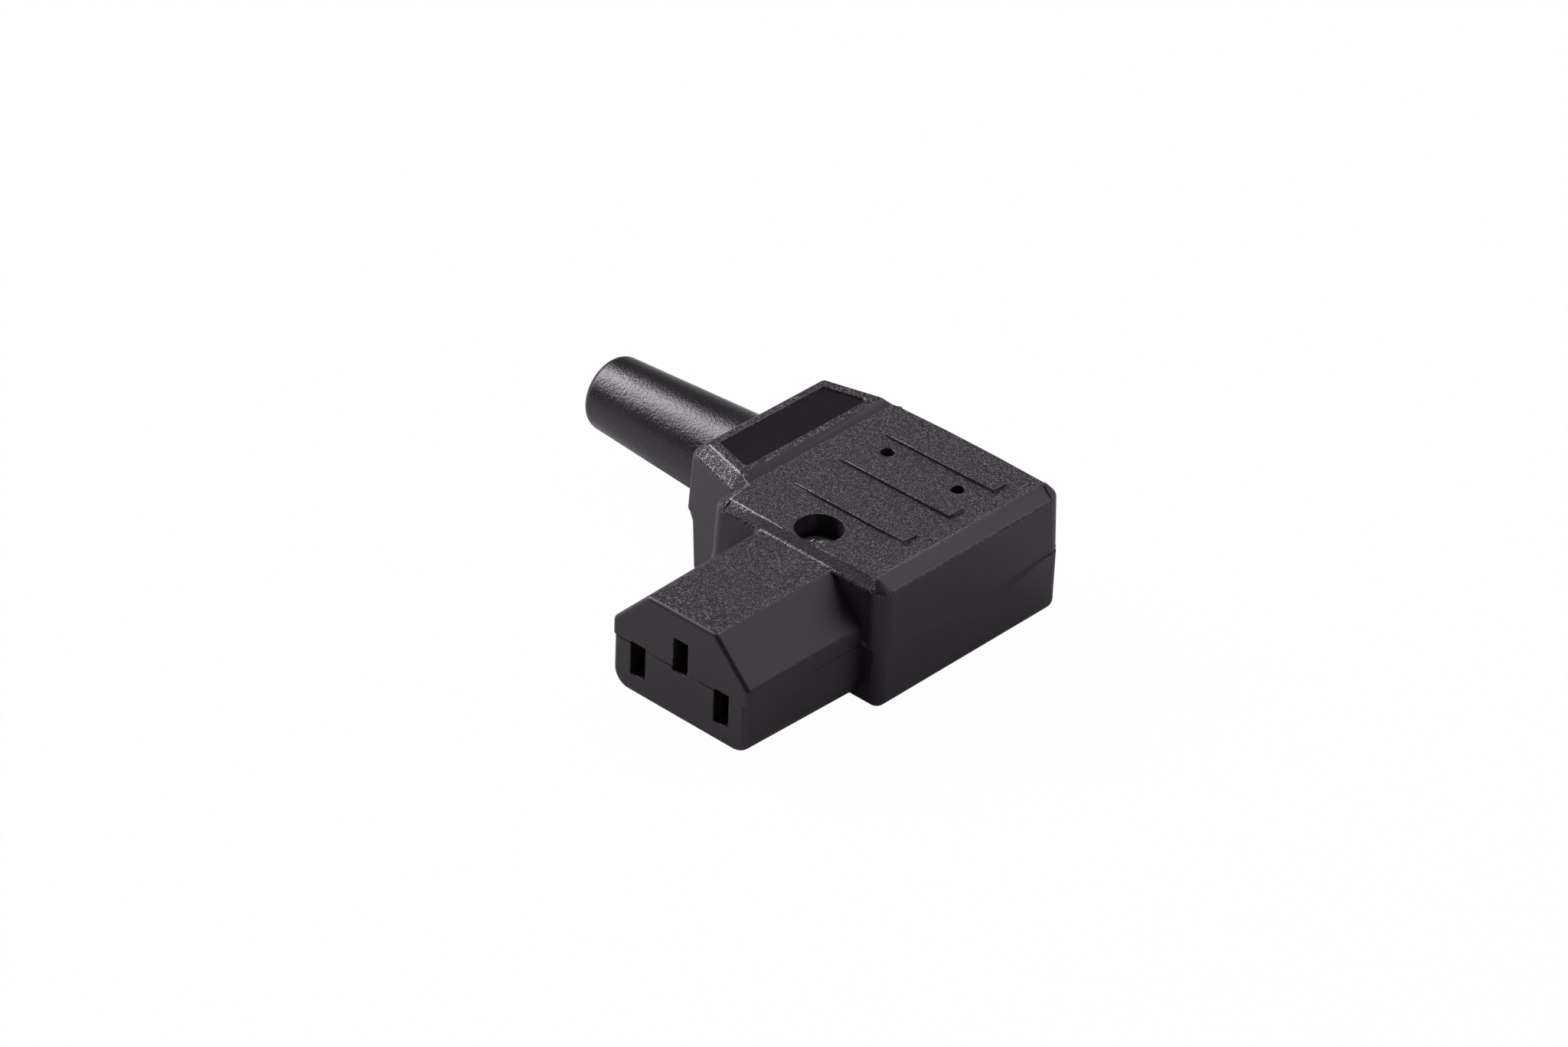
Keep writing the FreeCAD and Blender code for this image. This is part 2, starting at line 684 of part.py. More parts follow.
# Contacts
def leaf(x, z_low, z_high, side, root_gap, pinch_gap, sheet):
    """One springy leaf: folded inwards to a flat pinch, and outwards again at the mouth."""
    pinch_y = (contact_front + leaf_back) / 2
    faces = []
    for offset in (0, sheet):
        root_x = x + side * (root_gap / 2 + offset)
        pinch_x = x + side * (pinch_gap / 2 + offset)
        pinch_ends = [(pinch_x, pinch_y - LEAF_PINCH_HALF), (pinch_x, pinch_y + LEAF_PINCH_HALF)]
        stations = [(root_x, contact_front)] + pinch_ends + [(root_x, leaf_back)]
        faces.append([vec(u, v, z_low) for u, v in stations])
    inner, outer = faces
    return sharp_prism(inner + outer[::-1], vec(0, 0, z_high - z_low))


def folded_channel(x, web, rim, gap, sheet, bend, y_low, y_high):
    """A U folded from sheet along the pin: a web and two walls that reach to the rim."""
    inner = gap / 2
    outer = inner + sheet
    depth = vec(0, y_high - y_low, 0)
    towards_rim = math.copysign(1, rim - web)
    inner_web = web + towards_rim * sheet
    past_rim = rim + towards_rim * OVERCUT
    outside = [(x - outer, web), (x + outer, web), (x + outer, rim), (x - outer, rim)]
    inside = [(x - inner, inner_web), (x + inner, inner_web), (x + inner, past_rim), (x - inner, past_rim)]
    shell = prism(outside, [bend + sheet, bend + sheet, 0, 0], upright(y_low), depth)
    return shell.cut(prism(inside, [bend, bend, 0, 0], upright(y_low), depth))


def tail_strip(stations, z):
    """A flat strip through stations of (x, y, width)."""
    left = [vec(x - width / 2, y, z) for x, y, width in stations]
    right = [vec(x + width / 2, y, z) for x, y, width in reversed(stations)]
    return sharp_prism(left + right, vec(0, 0, SHEET))


def contact(x, z, tail_stations):
    floor = contact_floor(z)
    top = floor + SHEET + LEAF_HEIGHT
    root = folded_channel(x, floor, top, LEAF_ROOT_GAP, SHEET, BEND_RADIUS, leaf_back, contact_back)
    low = floor + SHEET + BEND_RADIUS
    leaves = [leaf(x, low, top, side, LEAF_ROOT_GAP, LEAF_PINCH_GAP, SHEET) for side in (-1, 1)]
    return fused([root] + leaves + [tail_strip(tail_stations, floor)])


def flat_root_width():
    """Width of the contact's web between its two bends."""
    return LEAF_ROOT_GAP - 2 * BEND_RADIUS


def pole_tail(side):
    """The tail of a line or neutral contact, stepped outwards to its terminal."""
    width = flat_root_width()
    return [
        (side * pole_x, contact_back - SHEET, width),
        (side * pole_x, inner_front + TAIL_STEP_CLEARANCE, width),
        (side * pole_terminal_x, pole_terminal_y - TAIL_STEP_CLEARANCE, TAIL_WIDTH),
        (side * pole_terminal_x, pole_terminal_y + TERMINAL_LENGTH - SHEET, TAIL_WIDTH),
    ]


def earth_tail():
    """The earth contact's tail, which passes the cover screw's pillar on one side."""
    width = flat_root_width()
    step_y = inner_front - TAIL_STEP_CLEARANCE
    return [
        (0, contact_back - SHEET, width),
        (0, step_y - EARTH_TAIL_NARROW - 2 * SHEET, width),
        (earth_tail_x, step_y - SHEET, EARTH_TAIL_NARROW),
        (earth_tail_x, pillar_back + TAIL_STEP_CLEARANCE, EARTH_TAIL_NARROW),
        (0, earth_terminal_y - SHEET / 2, TAIL_WIDTH),
        (0, earth_terminal_y + TERMINAL_LENGTH - SHEET, TAIL_WIDTH),
    ]


def contact_clip(x, z):
    """The steel clip astride a contact, which backs both leaves."""
    top = z + LEAF_HEIGHT / 2 + CLIP_CLEARANCE + CLIP_SHEET
    low = top - CLIP_SHEET - CLIP_HEIGHT
    gap = LEAF_ROOT_GAP + 2 * SHEET + 2 * CLIP_CLEARANCE
    pinch = LEAF_PINCH_GAP + 2 * SHEET + 2 * CLIP_CLEARANCE
    back = leaf_back + CLIP_BRIDGE
    bridge = folded_channel(x, top, low, gap, CLIP_SHEET, CLIP_BEND_RADIUS, leaf_back, back)
    high = top - CLIP_SHEET - CLIP_BEND_RADIUS
    legs = [leaf(x, low, high, side, gap, pinch, CLIP_SHEET) for side in (-1, 1)]
    front = contact_front + CLIP_SETBACK
    mouth = box(x - gap, x + gap, contact_front - OVERCUT, front, low - OVERCUT, top + OVERCUT)
    return fused([bridge] + legs).cut(mouth)


# Terminals
def terminal_places():
    """Centre line, front face and contact floor of each terminal, by pole."""
    return {
        "line": (-pole_terminal_x, pole_terminal_y, pole_floor),
        "neutral": (pole_terminal_x, pole_terminal_y, pole_floor),
        "earth": (0, earth_terminal_y, earth_floor),
    }


def terminal_block(x, front, floor):
    """A brass pillar: the contact's tail and the wire share its bore under the screw."""
    half = TERMINAL_WIDTH / 2
    top = floor + terminal_rise
    block = box(x - half, x + half, front, front + TERMINAL_LENGTH, floor - TERMINAL_FLOOR, top)
    corners = [edge for edge in block.Edges if abs(edge.tangentAt(edge.FirstParameter).z) > 0.9]
    block = block.makeChamfer(TERMINAL_EDGE, corners)
    bore_half = TERMINAL_BORE_WIDTH / 2
    bore_top = floor + TERMINAL_BORE_HEIGHT
    arch = bore_half * 2 / 3
    low_x = x - bore_half
    high_x = x + bore_half
    outline = [(low_x, floor), (high_x, floor), (high_x, bore_top), (low_x, bore_top)]
    length = TERMINAL_LENGTH + 2 * OVERCUT
    bore = prism(outline, [0, 0, arch, arch], upright(front - OVERCUT), vec(0, length, 0))
    middle = front + TERMINAL_LENGTH / 2
    thread_radius = TERMINAL_SCREW_RADIUS + THREAD_CLEARANCE
    thread = cylinder(thread_radius, x, middle, bore_top - OVERCUT, top + OVERCUT)
    return block.cut([bore, thread])


def terminal_screws():
    """The three slotted screws, one in each terminal block."""
    screws = []
    half = DRIVER_SLOT_WIDTH / 2
    reach = TERMINAL_HEAD_RADIUS + OVERCUT
    for x, front, floor in terminal_places().values():
        y = front + TERMINAL_LENGTH / 2
        seat = floor + terminal_rise + TERMINAL_SCREW_STAND
        top = seat + TERMINAL_HEAD_HEIGHT
        shank = cylinder(TERMINAL_SCREW_RADIUS, x, y, seat - TERMINAL_SCREW_LENGTH, seat)
        head = cylinder(TERMINAL_HEAD_RADIUS, x, y, seat, top)
        slot = box(x - reach, x + reach, y - half, y + half, top - DRIVER_SLOT_DEPTH, top + OVERCUT)
        screws.append(fused([shank, head]).cut(slot))
    return Part.makeCompound(screws)


# Screws with cross recesses
def cross_recess(x, y, top, spread, depth):
    arms = []
    half = CROSS_WIDTH / 2
    wide = spread / 2
    narrow = wide * CROSS_TAPER
    for turn in (CROSS_TURN, CROSS_TURN + 90):
        outline = [(-wide, 0), (wide, 0), (narrow, -depth), (-narrow, -depth)]
        arm = sharp_prism([vec(u, -half, v) for u, v in outline], vec(0, CROSS_WIDTH, 0))
        arm.rotate(vec(0, 0, 0), vec(0, 0, 1), turn)
        arm.translate(vec(x, y, top))
        arms.append(arm)
    return arms


def cross_screw(x, y, seat, shank_radius, length, head_radius, head_height, edge, spread, depth):
    """A screw turned about its axis, with a sloped edge and a cross recess in its head."""
    top = seat + head_height
    outline = [
        (0, seat - length), (shank_radius, seat - length), (shank_radius, seat),
        (head_radius, seat), (head_radius, top - edge), (head_radius - edge, top), (0, top),
    ]
    profile = Part.Face(Part.makePolygon([vec(x + u, y, v) for u, v in outline + outline[:1]]))
    screw = profile.revolve(vec(x, y, 0), vec(0, 0, 1), 360)
    return screw.cut(cross_recess(x, y, top, spread, depth))


def cover_screw():
    length = head_seat - nut_low + COVER_SCREW_REACH
    return cross_screw(
        0, cover_screw_y, head_seat, COVER_SCREW_RADIUS, length,
        COVER_HEAD_RADIUS, COVER_HEAD_HEIGHT, COVER_HEAD_EDGE, CROSS_SPREAD, CROSS_DEPTH)


def cover_nut():
    body = hexagon_prism(NUT_ACROSS_FLATS, 0, cover_screw_y, nut_low, NUT_POCKET_DEPTH)
    hole = cylinder(COVER_SCREW_RADIUS + THREAD_CLEARANCE, 0, cover_screw_y, 0, NUT_POCKET_DEPTH + OVERCUT)
    return body.cut(hole)


def cord_grip_screws():
    screws = []
    for y in grip_screw_places():
        screws.append(cross_screw(
            grip_x, y, grip_foot_top, GRIP_SCREW_RADIUS, GRIP_SCREW_LENGTH,
            GRIP_HEAD_RADIUS, GRIP_HEAD_HEIGHT, GRIP_HEAD_EDGE, GRIP_CROSS_SPREAD, GRIP_CROSS_DEPTH))
    return Part.makeCompound(screws)


# Cord grip and sleeve
def cord_grip_bar():
    """An arched bar over the cord, with a foot and a screw hole at each end and a ridge below."""
    foot_reach = grip_screw_spread + GRIP_HEAD_RADIUS
    low_y = cord_y - foot_reach
    high_y = cord_y + foot_reach
    below_feet = box(grip_low_x, grip_high_x, low_y, high_y, 0, grip_boss_top)
    feet = box(grip_low_x, grip_high_x, low_y, high_y, grip_boss_top, grip_foot_top)
    arch = cord_cylinder(arch_radius, grip_low_x, grip_high_x).cut(below_feet)
    bar = fused([feet, arch]).cut(cord_cylinder(GRIP_PASSAGE_RADIUS, grip_low_x, grip_high_x))
    ridge_half = GRIP_RIDGE_WIDTH / 2
    ridge = cord_cylinder(GRIP_PASSAGE_RADIUS + GRIP_RIDGE, grip_x - ridge_half, grip_x + ridge_half)
    inside = cord_cylinder(GRIP_PASSAGE_RADIUS - GRIP_RIDGE, grip_low_x, grip_high_x)
    bar = fused([bar, ridge.cut([inside, below_feet])])
    radius = GRIP_SCREW_RADIUS + SCREW_HOLE_CLEARANCE
    holes = []
    for y in grip_screw_places():
        holes.append(cylinder(radius, grip_x, y, grip_boss_top - OVERCUT, grip_foot_top + OVERCUT))
    return bar.cut(holes)


def bend_relief_sleeve():
    """A soft tapered sleeve turned about the cord's axis, with a groove that the neck's end wall fills."""
    tip_x = sleeve_shoulder_x - SLEEVE_LENGTH
    bore = SLEEVE_BORE_RADIUS
    profile = [
        (tip_x, bore),
        (tip_x, SLEEVE_TIP_RADIUS - SLEEVE_TIP_EDGE),
        (tip_x + SLEEVE_TIP_EDGE, SLEEVE_TIP_RADIUS),
        (sleeve_shoulder_x, SLEEVE_ROOT_RADIUS),
        (sleeve_shoulder_x, groove_radius),
        (groove_end_x, groove_radius),
        (groove_end_x, flange_radius),
        (flange_end_x, flange_radius),
        (flange_end_x, bore),
    ]
    outline = [vec(x, cord_y, cord_z + radius) for x, radius in profile + profile[:1]]
    return Part.Face(Part.makePolygon(outline)).revolve(vec(0, cord_y, cord_z), vec(1, 0, 0), 360)


def sub_parts():
    pieces = {
        "base_shell": base_shell(),
        "cover_shell": cover_shell(),
        "bend_relief_sleeve": bend_relief_sleeve(),
        "cord_grip_bar": cord_grip_bar(),
        "cord_grip_screws": cord_grip_screws(),
        "cover_screw": cover_screw(),
        "cover_nut": cover_nut(),
        "terminal_screws": terminal_screws(),
    }
    tails = {"line": pole_tail(-1), "neutral": pole_tail(1), "earth": earth_tail()}
    for (pole, tail), (x, z) in zip(tails.items(), socket_axes()):
        pieces[pole + "_contact"] = contact(x, z, tail)
        pieces[pole + "_contact_clip"] = contact_clip(x, z)
    for pole, (x, front, floor) in terminal_places().items():
        pieces[pole + "_terminal"] = terminal_block(x, front, floor)
    return pieces


def main():
    os.makedirs("parts", exist_ok=True)
    for name, shape in sub_parts().items():
        shape.exportStep(os.path.join("parts", name + ".step"))
        print(name, "solids", len(shape.Solids), "valid", shape.isValid(), "volume", round(shape.Volume, 1))


main()
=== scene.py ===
import math

import bmesh
import bpy
from bpy.props import FloatProperty, FloatVectorProperty, IntProperty, PointerProperty
from mathutils import Matrix, Vector
from mathutils.bvhtree import BVHTree


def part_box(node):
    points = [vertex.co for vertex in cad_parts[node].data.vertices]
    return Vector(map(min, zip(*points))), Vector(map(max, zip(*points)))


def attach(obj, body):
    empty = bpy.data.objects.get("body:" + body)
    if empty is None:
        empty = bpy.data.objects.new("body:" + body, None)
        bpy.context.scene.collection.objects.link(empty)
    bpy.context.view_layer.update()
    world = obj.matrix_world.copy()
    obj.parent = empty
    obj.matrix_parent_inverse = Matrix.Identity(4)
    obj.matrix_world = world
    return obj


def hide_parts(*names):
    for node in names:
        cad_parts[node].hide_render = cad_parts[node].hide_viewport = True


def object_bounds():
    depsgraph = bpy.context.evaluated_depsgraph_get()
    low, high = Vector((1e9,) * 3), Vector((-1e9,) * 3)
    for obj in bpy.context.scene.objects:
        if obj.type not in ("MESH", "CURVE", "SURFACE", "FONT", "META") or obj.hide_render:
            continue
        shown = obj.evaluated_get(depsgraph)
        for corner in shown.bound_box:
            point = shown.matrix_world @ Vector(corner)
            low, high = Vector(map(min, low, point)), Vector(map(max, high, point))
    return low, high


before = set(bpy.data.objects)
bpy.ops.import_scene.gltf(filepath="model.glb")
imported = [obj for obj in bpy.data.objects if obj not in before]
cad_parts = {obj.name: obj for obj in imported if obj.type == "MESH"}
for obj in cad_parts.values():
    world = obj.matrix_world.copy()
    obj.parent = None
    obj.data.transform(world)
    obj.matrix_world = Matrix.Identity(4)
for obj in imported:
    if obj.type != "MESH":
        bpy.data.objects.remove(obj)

bl_info = {
    "name": "Angled Appliance Connector",
    "version": (1, 0, 0),
    "blender": (4, 5, 0),
    "location": "3D Viewport > Sidebar > Connector",
    "description": "Mouldings, sleeve, screws and socket contacts of a rewirable three-pole connector",
    "category": "Add Mesh",
}

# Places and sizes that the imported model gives
cad_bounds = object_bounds()
cover_low, cover_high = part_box("cover_shell")
sleeve_low, sleeve_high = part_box("bend_relief_sleeve")
screw_low, screw_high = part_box("cover_screw")
parting_height = cover_low.z
nose_face = cover_low.y
neck_end = cover_low.x
cord_axis = (sleeve_low + sleeve_high) / 2
screw_middle = (screw_low + screw_high) / 2

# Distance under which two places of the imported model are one
MERGE = 1e-7
# How far a probe starts off the surface that it leaves
PROBE_LIFT = 2e-5
# Slope under which neighbouring triangles are one flat
FLAT_ANGLE = math.radians(0.4)
# Turn from which the shading shows a crease
CREASE_ANGLE = math.radians(38)
# Least turn at an edge of the metal pieces, and at the rim of a cross recess
METAL_EDGE_ANGLE = math.radians(35)
RECESS_RIM_ANGLE = math.radians(30)

# Part of a face's direction along an axis: square to it, on a ledge, on a slope, and on an upright wall
SQUARE = 0.9
LEDGE = 0.6
SLOPE = 0.3
UPRIGHT = 0.1
# How far the draft of a front wall takes its middle from the wall's place
WALL_DRAFT = 0.0003
# Depth behind the block's front, in shoulder drops, where the well's upright edges stay sharp
WELL_FRONT = 1.2
# Share of the narrow rounding that the edges round the screw's well get
WELL_SHARE = 1 / 3
# Faces across the rounds of the sleeve's lips and free end, the screw's head, and broken edges
LIP_STEPS = 4
TIP_STEPS = 10
HEAD_STEPS = 8
BREAK_STEPS = 2
# Shares of the thread's pitch: its depth, the height of its crest, and of the root above that
THREAD_DEPTH = 0.6
THREAD_CREST = 0.45
THREAD_ROOT = 0.95
# Shares of the recess's spread at its floor, and of a wing's width at the floor and the mouth
RECESS_FLOOR = 0.45
WING_FLOOR = 0.8
WING_MOUTH = 1.15

# Places of the cover's finishes in its list of materials; the rounded edges come last
COVER_SATIN, GRAINED_TOP_GLINTS, LABEL_POLISH_SHADED, GRAINED_BORDER_SHADED = range(4)
# Painted shade: the label recess is painted darker than the rest of the cover, and the front border's flecks
# dimmer than the top's
LABEL_PAINTED_SHADE = 0.55
BORDER_PAINTED_SHADE = 0.25

# Widths of the marks on the surfaces
FLOW_MARKS = 0.009
HANDLING_HAZE = 0.0022
MOULD_SKIN = 0.00022
SCRATCHES = 0.0012
GRAIN_PATCHES = 0.0045
RUBBER_SKIN = 0.00038
RUBBER_BLOOM = 0.0026
TOOL_MARKS = 0.00012
AGED_FILM = 0.0014
# Width of the coarse grain, and of the grain left on rubbed edges, against the fine grain's
COARSE_GRAIN = 2.3
EDGE_GRAIN = 1.4
# Where the grain turns to flecks, which are painted lighter as painted glints, and to raised flats
FLECK_STOPS = [(0.0, 0), (0.46, 0.02), (0.54, 0.3), (0.61, 1), (1.0, 1)]
RELIEF_STOPS = [(0.0, 0), (0.43, 0.05), (0.57, 0.95), (1.0, 1)]

# Soft lamps: name, direction from the connector, distance, width, and the setting of their power
SOFTBOXES = (
    ("key_softbox", (-0.74, -0.06, 0.66), 0.55, 0.24, "key_power"),
    ("side_softbox", (-0.87, -0.32, 0.45), 0.55, 0.12, "side_power"),
    ("back_softbox", (-0.20, 0.90, 0.40), 0.90, 0.60, "back_power"),
    ("top_softbox", (0.00, 0.50, 0.86), 0.50, 0.06, "top_power"),
    ("fill_softbox", (0.50, 0.60, 0.60), 0.90, 0.80, "fill_power"),
)
# Share of white that the floor shows to the camera, and to mirrors and glass
FLOOR_WHITE = 0.985
FLOOR_GLOW = 0.05
# Half the floor's width
FLOOR_REACH = 3.0
# Width of the camera's sensor in millimetres, and how near and far it sees
SENSOR_WIDTH = 36
CLIP_START = 0.05
CLIP_END = 20


# Settings
class HousingSettings(bpy.types.PropertyGroup):
    """The two black mouldings"""

    colour: FloatVectorProperty(
        name="Plastic", description="Colour of the moulded plastic", subtype="COLOR",
        size=3, min=0, max=1, default=(0.020, 0.0172, 0.0205))
    sheen: FloatVectorProperty(
        name="Sheen", description="Tint of what the plastic reflects", subtype="COLOR",
        size=3, min=0, max=1, default=(1.0, 0.88, 1.0))
    outline_round: FloatProperty(
        name="Outline round", description="Width of the rounding on the edges of the main form",
        subtype="DISTANCE", unit="LENGTH", min=0.00001, default=0.00028, precision=6)
    seam_border: FloatProperty(
        name="Seam border", description="Height above the parting plane up to which edges stay narrow",
        subtype="DISTANCE", unit="LENGTH", min=0, default=0.0010, precision=6)
    short_edge: FloatProperty(
        name="Short edge", description="Length up to which the pieces of a small corner are joined",
        subtype="DISTANCE", unit="LENGTH", min=0, default=0.00015, precision=6)
    edge_round: FloatProperty(
        name="Edge round", description="Width of the rounding on ribs, holes and seams",
        subtype="DISTANCE", unit="LENGTH", min=0, default=0.00014, precision=6)
    edge_steps: IntProperty(
        name="Edge steps", description="Faces across each rounded edge", min=1, max=6, default=3)
    edge_angle: FloatProperty(
        name="Edge angle", description="Least turn that counts as an edge", subtype="ANGLE",
        unit="ROTATION", default=math.radians(23))
    shoulder_drop: FloatProperty(
        name="Shoulder drop", description="Depth of the sloped border below the top of the block",
        subtype="DISTANCE", unit="LENGTH", default=0.00135, precision=6)
    neck_rise: FloatProperty(
        name="Neck rise", description="Height of the neck's top above the block's", subtype="DISTANCE",
        unit="LENGTH", default=0.0005, precision=6)
    ramp_foot: FloatProperty(
        name="Ramp foot", description="Where the slope from the neck reaches the top of the block",
        subtype="DISTANCE", unit="LENGTH", default=-0.0130, precision=6)
    well_border: FloatProperty(
        name="Well border", description="Distance from the screw's axis within which edges stay crisp",
        subtype="DISTANCE", unit="LENGTH", default=0.0040, precision=6)
    corner_strip: FloatProperty(
        name="Corner strip", description="Length of the pieces cut off at the ends of the neck's rim",
        subtype="DISTANCE", unit="LENGTH", default=0.0008, precision=6)
    nose_strip: FloatProperty(
        name="Nose strip", description="Distance from the middle at which the front wall is cut",
        subtype="DISTANCE", unit="LENGTH", default=0.0072, precision=6)
    label_depth: FloatProperty(
        name="Label depth", description="Depth of the bare recess in the neck's top", subtype="DISTANCE",
        unit="LENGTH", default=0.0003, precision=6)
    block_front: FloatProperty(
        name="Block front", description="Place of the wall that the nose stands on", subtype="DISTANCE",
        unit="LENGTH", default=-0.01695, precision=6)
    grain_size: FloatProperty(
        name="Grain size", description="Width of one fleck of the eroded grain", subtype="DISTANCE",
        unit="LENGTH", min=0.00001, default=0.00022, precision=6)
    grain_depth: FloatProperty(
        name="Grain depth", description="Height of the eroded grain", subtype="DISTANCE",
        unit="LENGTH", min=0, default=0.00013, precision=6)
    # Painted glints: the grain's flecks are painted this many times lighter than the plastic
    fleck_glint_brightness: FloatProperty(
        name="Fleck brightness", description="How much lighter the flecks are than the plastic", min=1,
        default=9.0)
    grain_roughness: FloatProperty(
        name="Grain roughness", description="Roughness of the grained faces", subtype="FACTOR",
        min=0, max=1, default=0.32)
    edge_roughness: FloatProperty(
        name="Edge roughness", description="Roughness of the rounded edges", subtype="FACTOR",
        min=0, max=1, default=0.31)
    satin_roughness: FloatProperty(
        name="Satin roughness", description="Roughness of the smooth faces", subtype="FACTOR",
        min=0, max=1, default=0.42)
    polish_roughness: FloatProperty(
        name="Polish roughness", description="Roughness of the bare label recess", subtype="FACTOR",
        min=0, max=1, default=0.20)


class SleeveSettings(bpy.types.PropertyGroup):
    """The soft sleeve that the cord leaves through"""

    colour: FloatVectorProperty(
        name="Rubber", description="Colour of the sleeve", subtype="COLOR",
        size=3, min=0, max=1, default=(0.010, 0.0087, 0.0103))
    sheen: FloatVectorProperty(
        name="Sheen", description="Tint of what the rubber reflects", subtype="COLOR",
        size=3, min=0, max=1, default=(1.0, 0.92, 1.0))
    tip_radius: FloatProperty(
        name="Tip radius", description="Outside radius at the free end", subtype="DISTANCE",
        unit="LENGTH", default=0.0052, precision=6)
    root_radius: FloatProperty(
        name="Root radius", description="Outside radius at the neck", subtype="DISTANCE",
        unit="LENGTH", default=0.0065, precision=6)
    bore_radius: FloatProperty(
        name="Bore radius", description="Radius of the way for the cord", subtype="DISTANCE",
        unit="LENGTH", default=0.0035, precision=6)
    groove_radius: FloatProperty(
        name="Groove radius", description="Radius inside the neck's end wall", subtype="DISTANCE",
        unit="LENGTH", default=0.0056, precision=6)
    flange: FloatProperty(
        name="Flange", description="Thickness of the flange inside the neck", subtype="DISTANCE",
        unit="LENGTH", default=0.0019, precision=6)
    shoulder_gap: FloatProperty(
        name="Shoulder gap", description="Space between the sleeve's shoulder and the neck",
        subtype="DISTANCE", unit="LENGTH", default=0.0001, precision=6)
    tip_round: FloatProperty(
        name="Tip round", description="Radius of the free end's outer edge", subtype="DISTANCE",
        unit="LENGTH", default=0.0014, precision=6)
    lip_round: FloatProperty(
        name="Lip round", description="Radius of the edges at the mouth and at the shoulder",
        subtype="DISTANCE", unit="LENGTH", default=0.0003, precision=6)
    steps: IntProperty(
        name="Steps", description="Faces round the sleeve", min=24, max=256, default=128)
    roughness: FloatProperty(
        name="Roughness", description="Roughness of the rubber", subtype="FACTOR",
        min=0, max=1, default=0.31)


class ScrewSettings(bpy.types.PropertyGroup):
    """The screw that holds the two mouldings together"""

    colour: FloatVectorProperty(
        name="Steel", description="Colour of the worn steel", subtype="COLOR",
        size=3, min=0, max=1, default=(0.56, 0.58, 0.58))
    head_height: FloatProperty(
        name="Head height", description="Height of the head", subtype="DISTANCE",
        unit="LENGTH", default=0.0021, precision=6)
    head_round: FloatProperty(
        name="Head round", description="Radius of the head's top edge", subtype="DISTANCE",
        unit="LENGTH", default=0.0008, precision=6)
    thread_radius: FloatProperty(
        name="Thread radius", description="Outside radius of the thread", subtype="DISTANCE",
        unit="LENGTH", default=0.0015, precision=6)
    thread_pitch: FloatProperty(
        name="Thread pitch", description="Distance from one thread to the next", subtype="DISTANCE",
        unit="LENGTH", default=0.0005, precision=6)
    thread_length: FloatProperty(
        name="Thread length", description="Length of the threaded end", subtype="DISTANCE",
        unit="LENGTH", default=0.008, precision=6)
    recess_width: FloatProperty(
        name="Recess width", description="Width of one wing of the cross recess", subtype="DISTANCE",
        unit="LENGTH", default=0.00075, precision=6)
    recess_spread: FloatProperty(
        name="Recess spread", description="Width of the cross recess at the top", subtype="DISTANCE",
        unit="LENGTH", default=0.0033, precision=6)
    recess_depth: FloatProperty(
        name="Recess depth", description="Depth of the cross recess", subtype="DISTANCE",
        unit="LENGTH", default=0.0013, precision=6)
    recess_round: FloatProperty(
        name="Recess round", description="Width of the rounding on the recess's rim",
        subtype="DISTANCE", unit="LENGTH", default=0.00015, precision=6)
    recess_turn: FloatProperty(
        name="Recess turn", description="Turn of the cross recess in the head", subtype="ANGLE",
        unit="ROTATION", default=math.radians(80))
    steps: IntProperty(
        name="Steps", description="Faces round the screw", min=24, max=128, default=64)


class MetalSettings(bpy.types.PropertyGroup):
    """Finishes of the metal pieces inside"""

    brass: FloatVectorProperty(
        name="Brass", description="Colour of the contacts and terminals", subtype="COLOR",
        size=3, min=0, max=1, default=(0.62, 0.43, 0.17))
    zinc: FloatVectorProperty(
        name="Plated steel", description="Colour of the plated screws and the nut", subtype="COLOR",
        size=3, min=0, max=1, default=(0.52, 0.52, 0.50))
    spring: FloatVectorProperty(
        name="Spring steel", description="Colour of the contact clips", subtype="COLOR",
        size=3, min=0, max=1, default=(0.36, 0.36, 0.37))
    edge_break: FloatProperty(
        name="Edge break", description="Radius on the edges of metal pieces", subtype="DISTANCE",
        unit="LENGTH", default=0.00005, precision=6)


class StageSettings(bpy.types.PropertyGroup):
    """Camera, lamps and floor"""

    camera_place: FloatVectorProperty(
        name="Camera", description="Place of the camera", subtype="XYZ", unit="LENGTH",
        size=3, default=(0.415146, -0.483743, 0.431773), precision=6)
    camera_azimuth: FloatProperty(
        name="Azimuth", description="Turn of the view round the object", subtype="ANGLE",
        unit="ROTATION", default=math.radians(41.776))
    camera_elevation: FloatProperty(
        name="Elevation", description="Height of the view above the floor", subtype="ANGLE",
        unit="ROTATION", default=math.radians(33.33))
    camera_roll: FloatProperty(
        name="Roll", description="Turn of the picture about its middle", subtype="ANGLE",
        unit="ROTATION", default=math.radians(2.464))
    lens: FloatProperty(
        name="Lens", description="Focal length on a 36 mm wide sensor", subtype="DISTANCE_CAMERA",
        unit="CAMERA", default=140.625)
    key_power: FloatProperty(
        name="Key light", description="Power of the soft lamp above the cord's side", subtype="POWER",
        unit="POWER", min=0, default=2.7)
    side_power: FloatProperty(
        name="Side light", description="Power of the small lamp lower on the cord's side",
        subtype="POWER", unit="POWER", min=0, default=0.95)
    back_power: FloatProperty(
        name="Back light", description="Power of the wide lamp behind that brightens the tops",
        subtype="POWER", unit="POWER", min=0, default=0.6)
    top_power: FloatProperty(
        name="Top light", description="Power of the small lamp high above", subtype="POWER",
        unit="POWER", min=0, default=0.35)
    fill_power: FloatProperty(
        name="Fill light", description="Power of the widest lamp, behind on the side away from the cord",
        subtype="POWER", unit="POWER", min=0, default=2.7)
    room: FloatProperty(
        name="Room light", description="Strength of the light from all round", min=0, default=0.08)
    floor_colour: FloatVectorProperty(
        name="Floor", description="Colour of the floor", subtype="COLOR",
        size=3, min=0, max=1, default=(0.60, 0.60, 0.60))


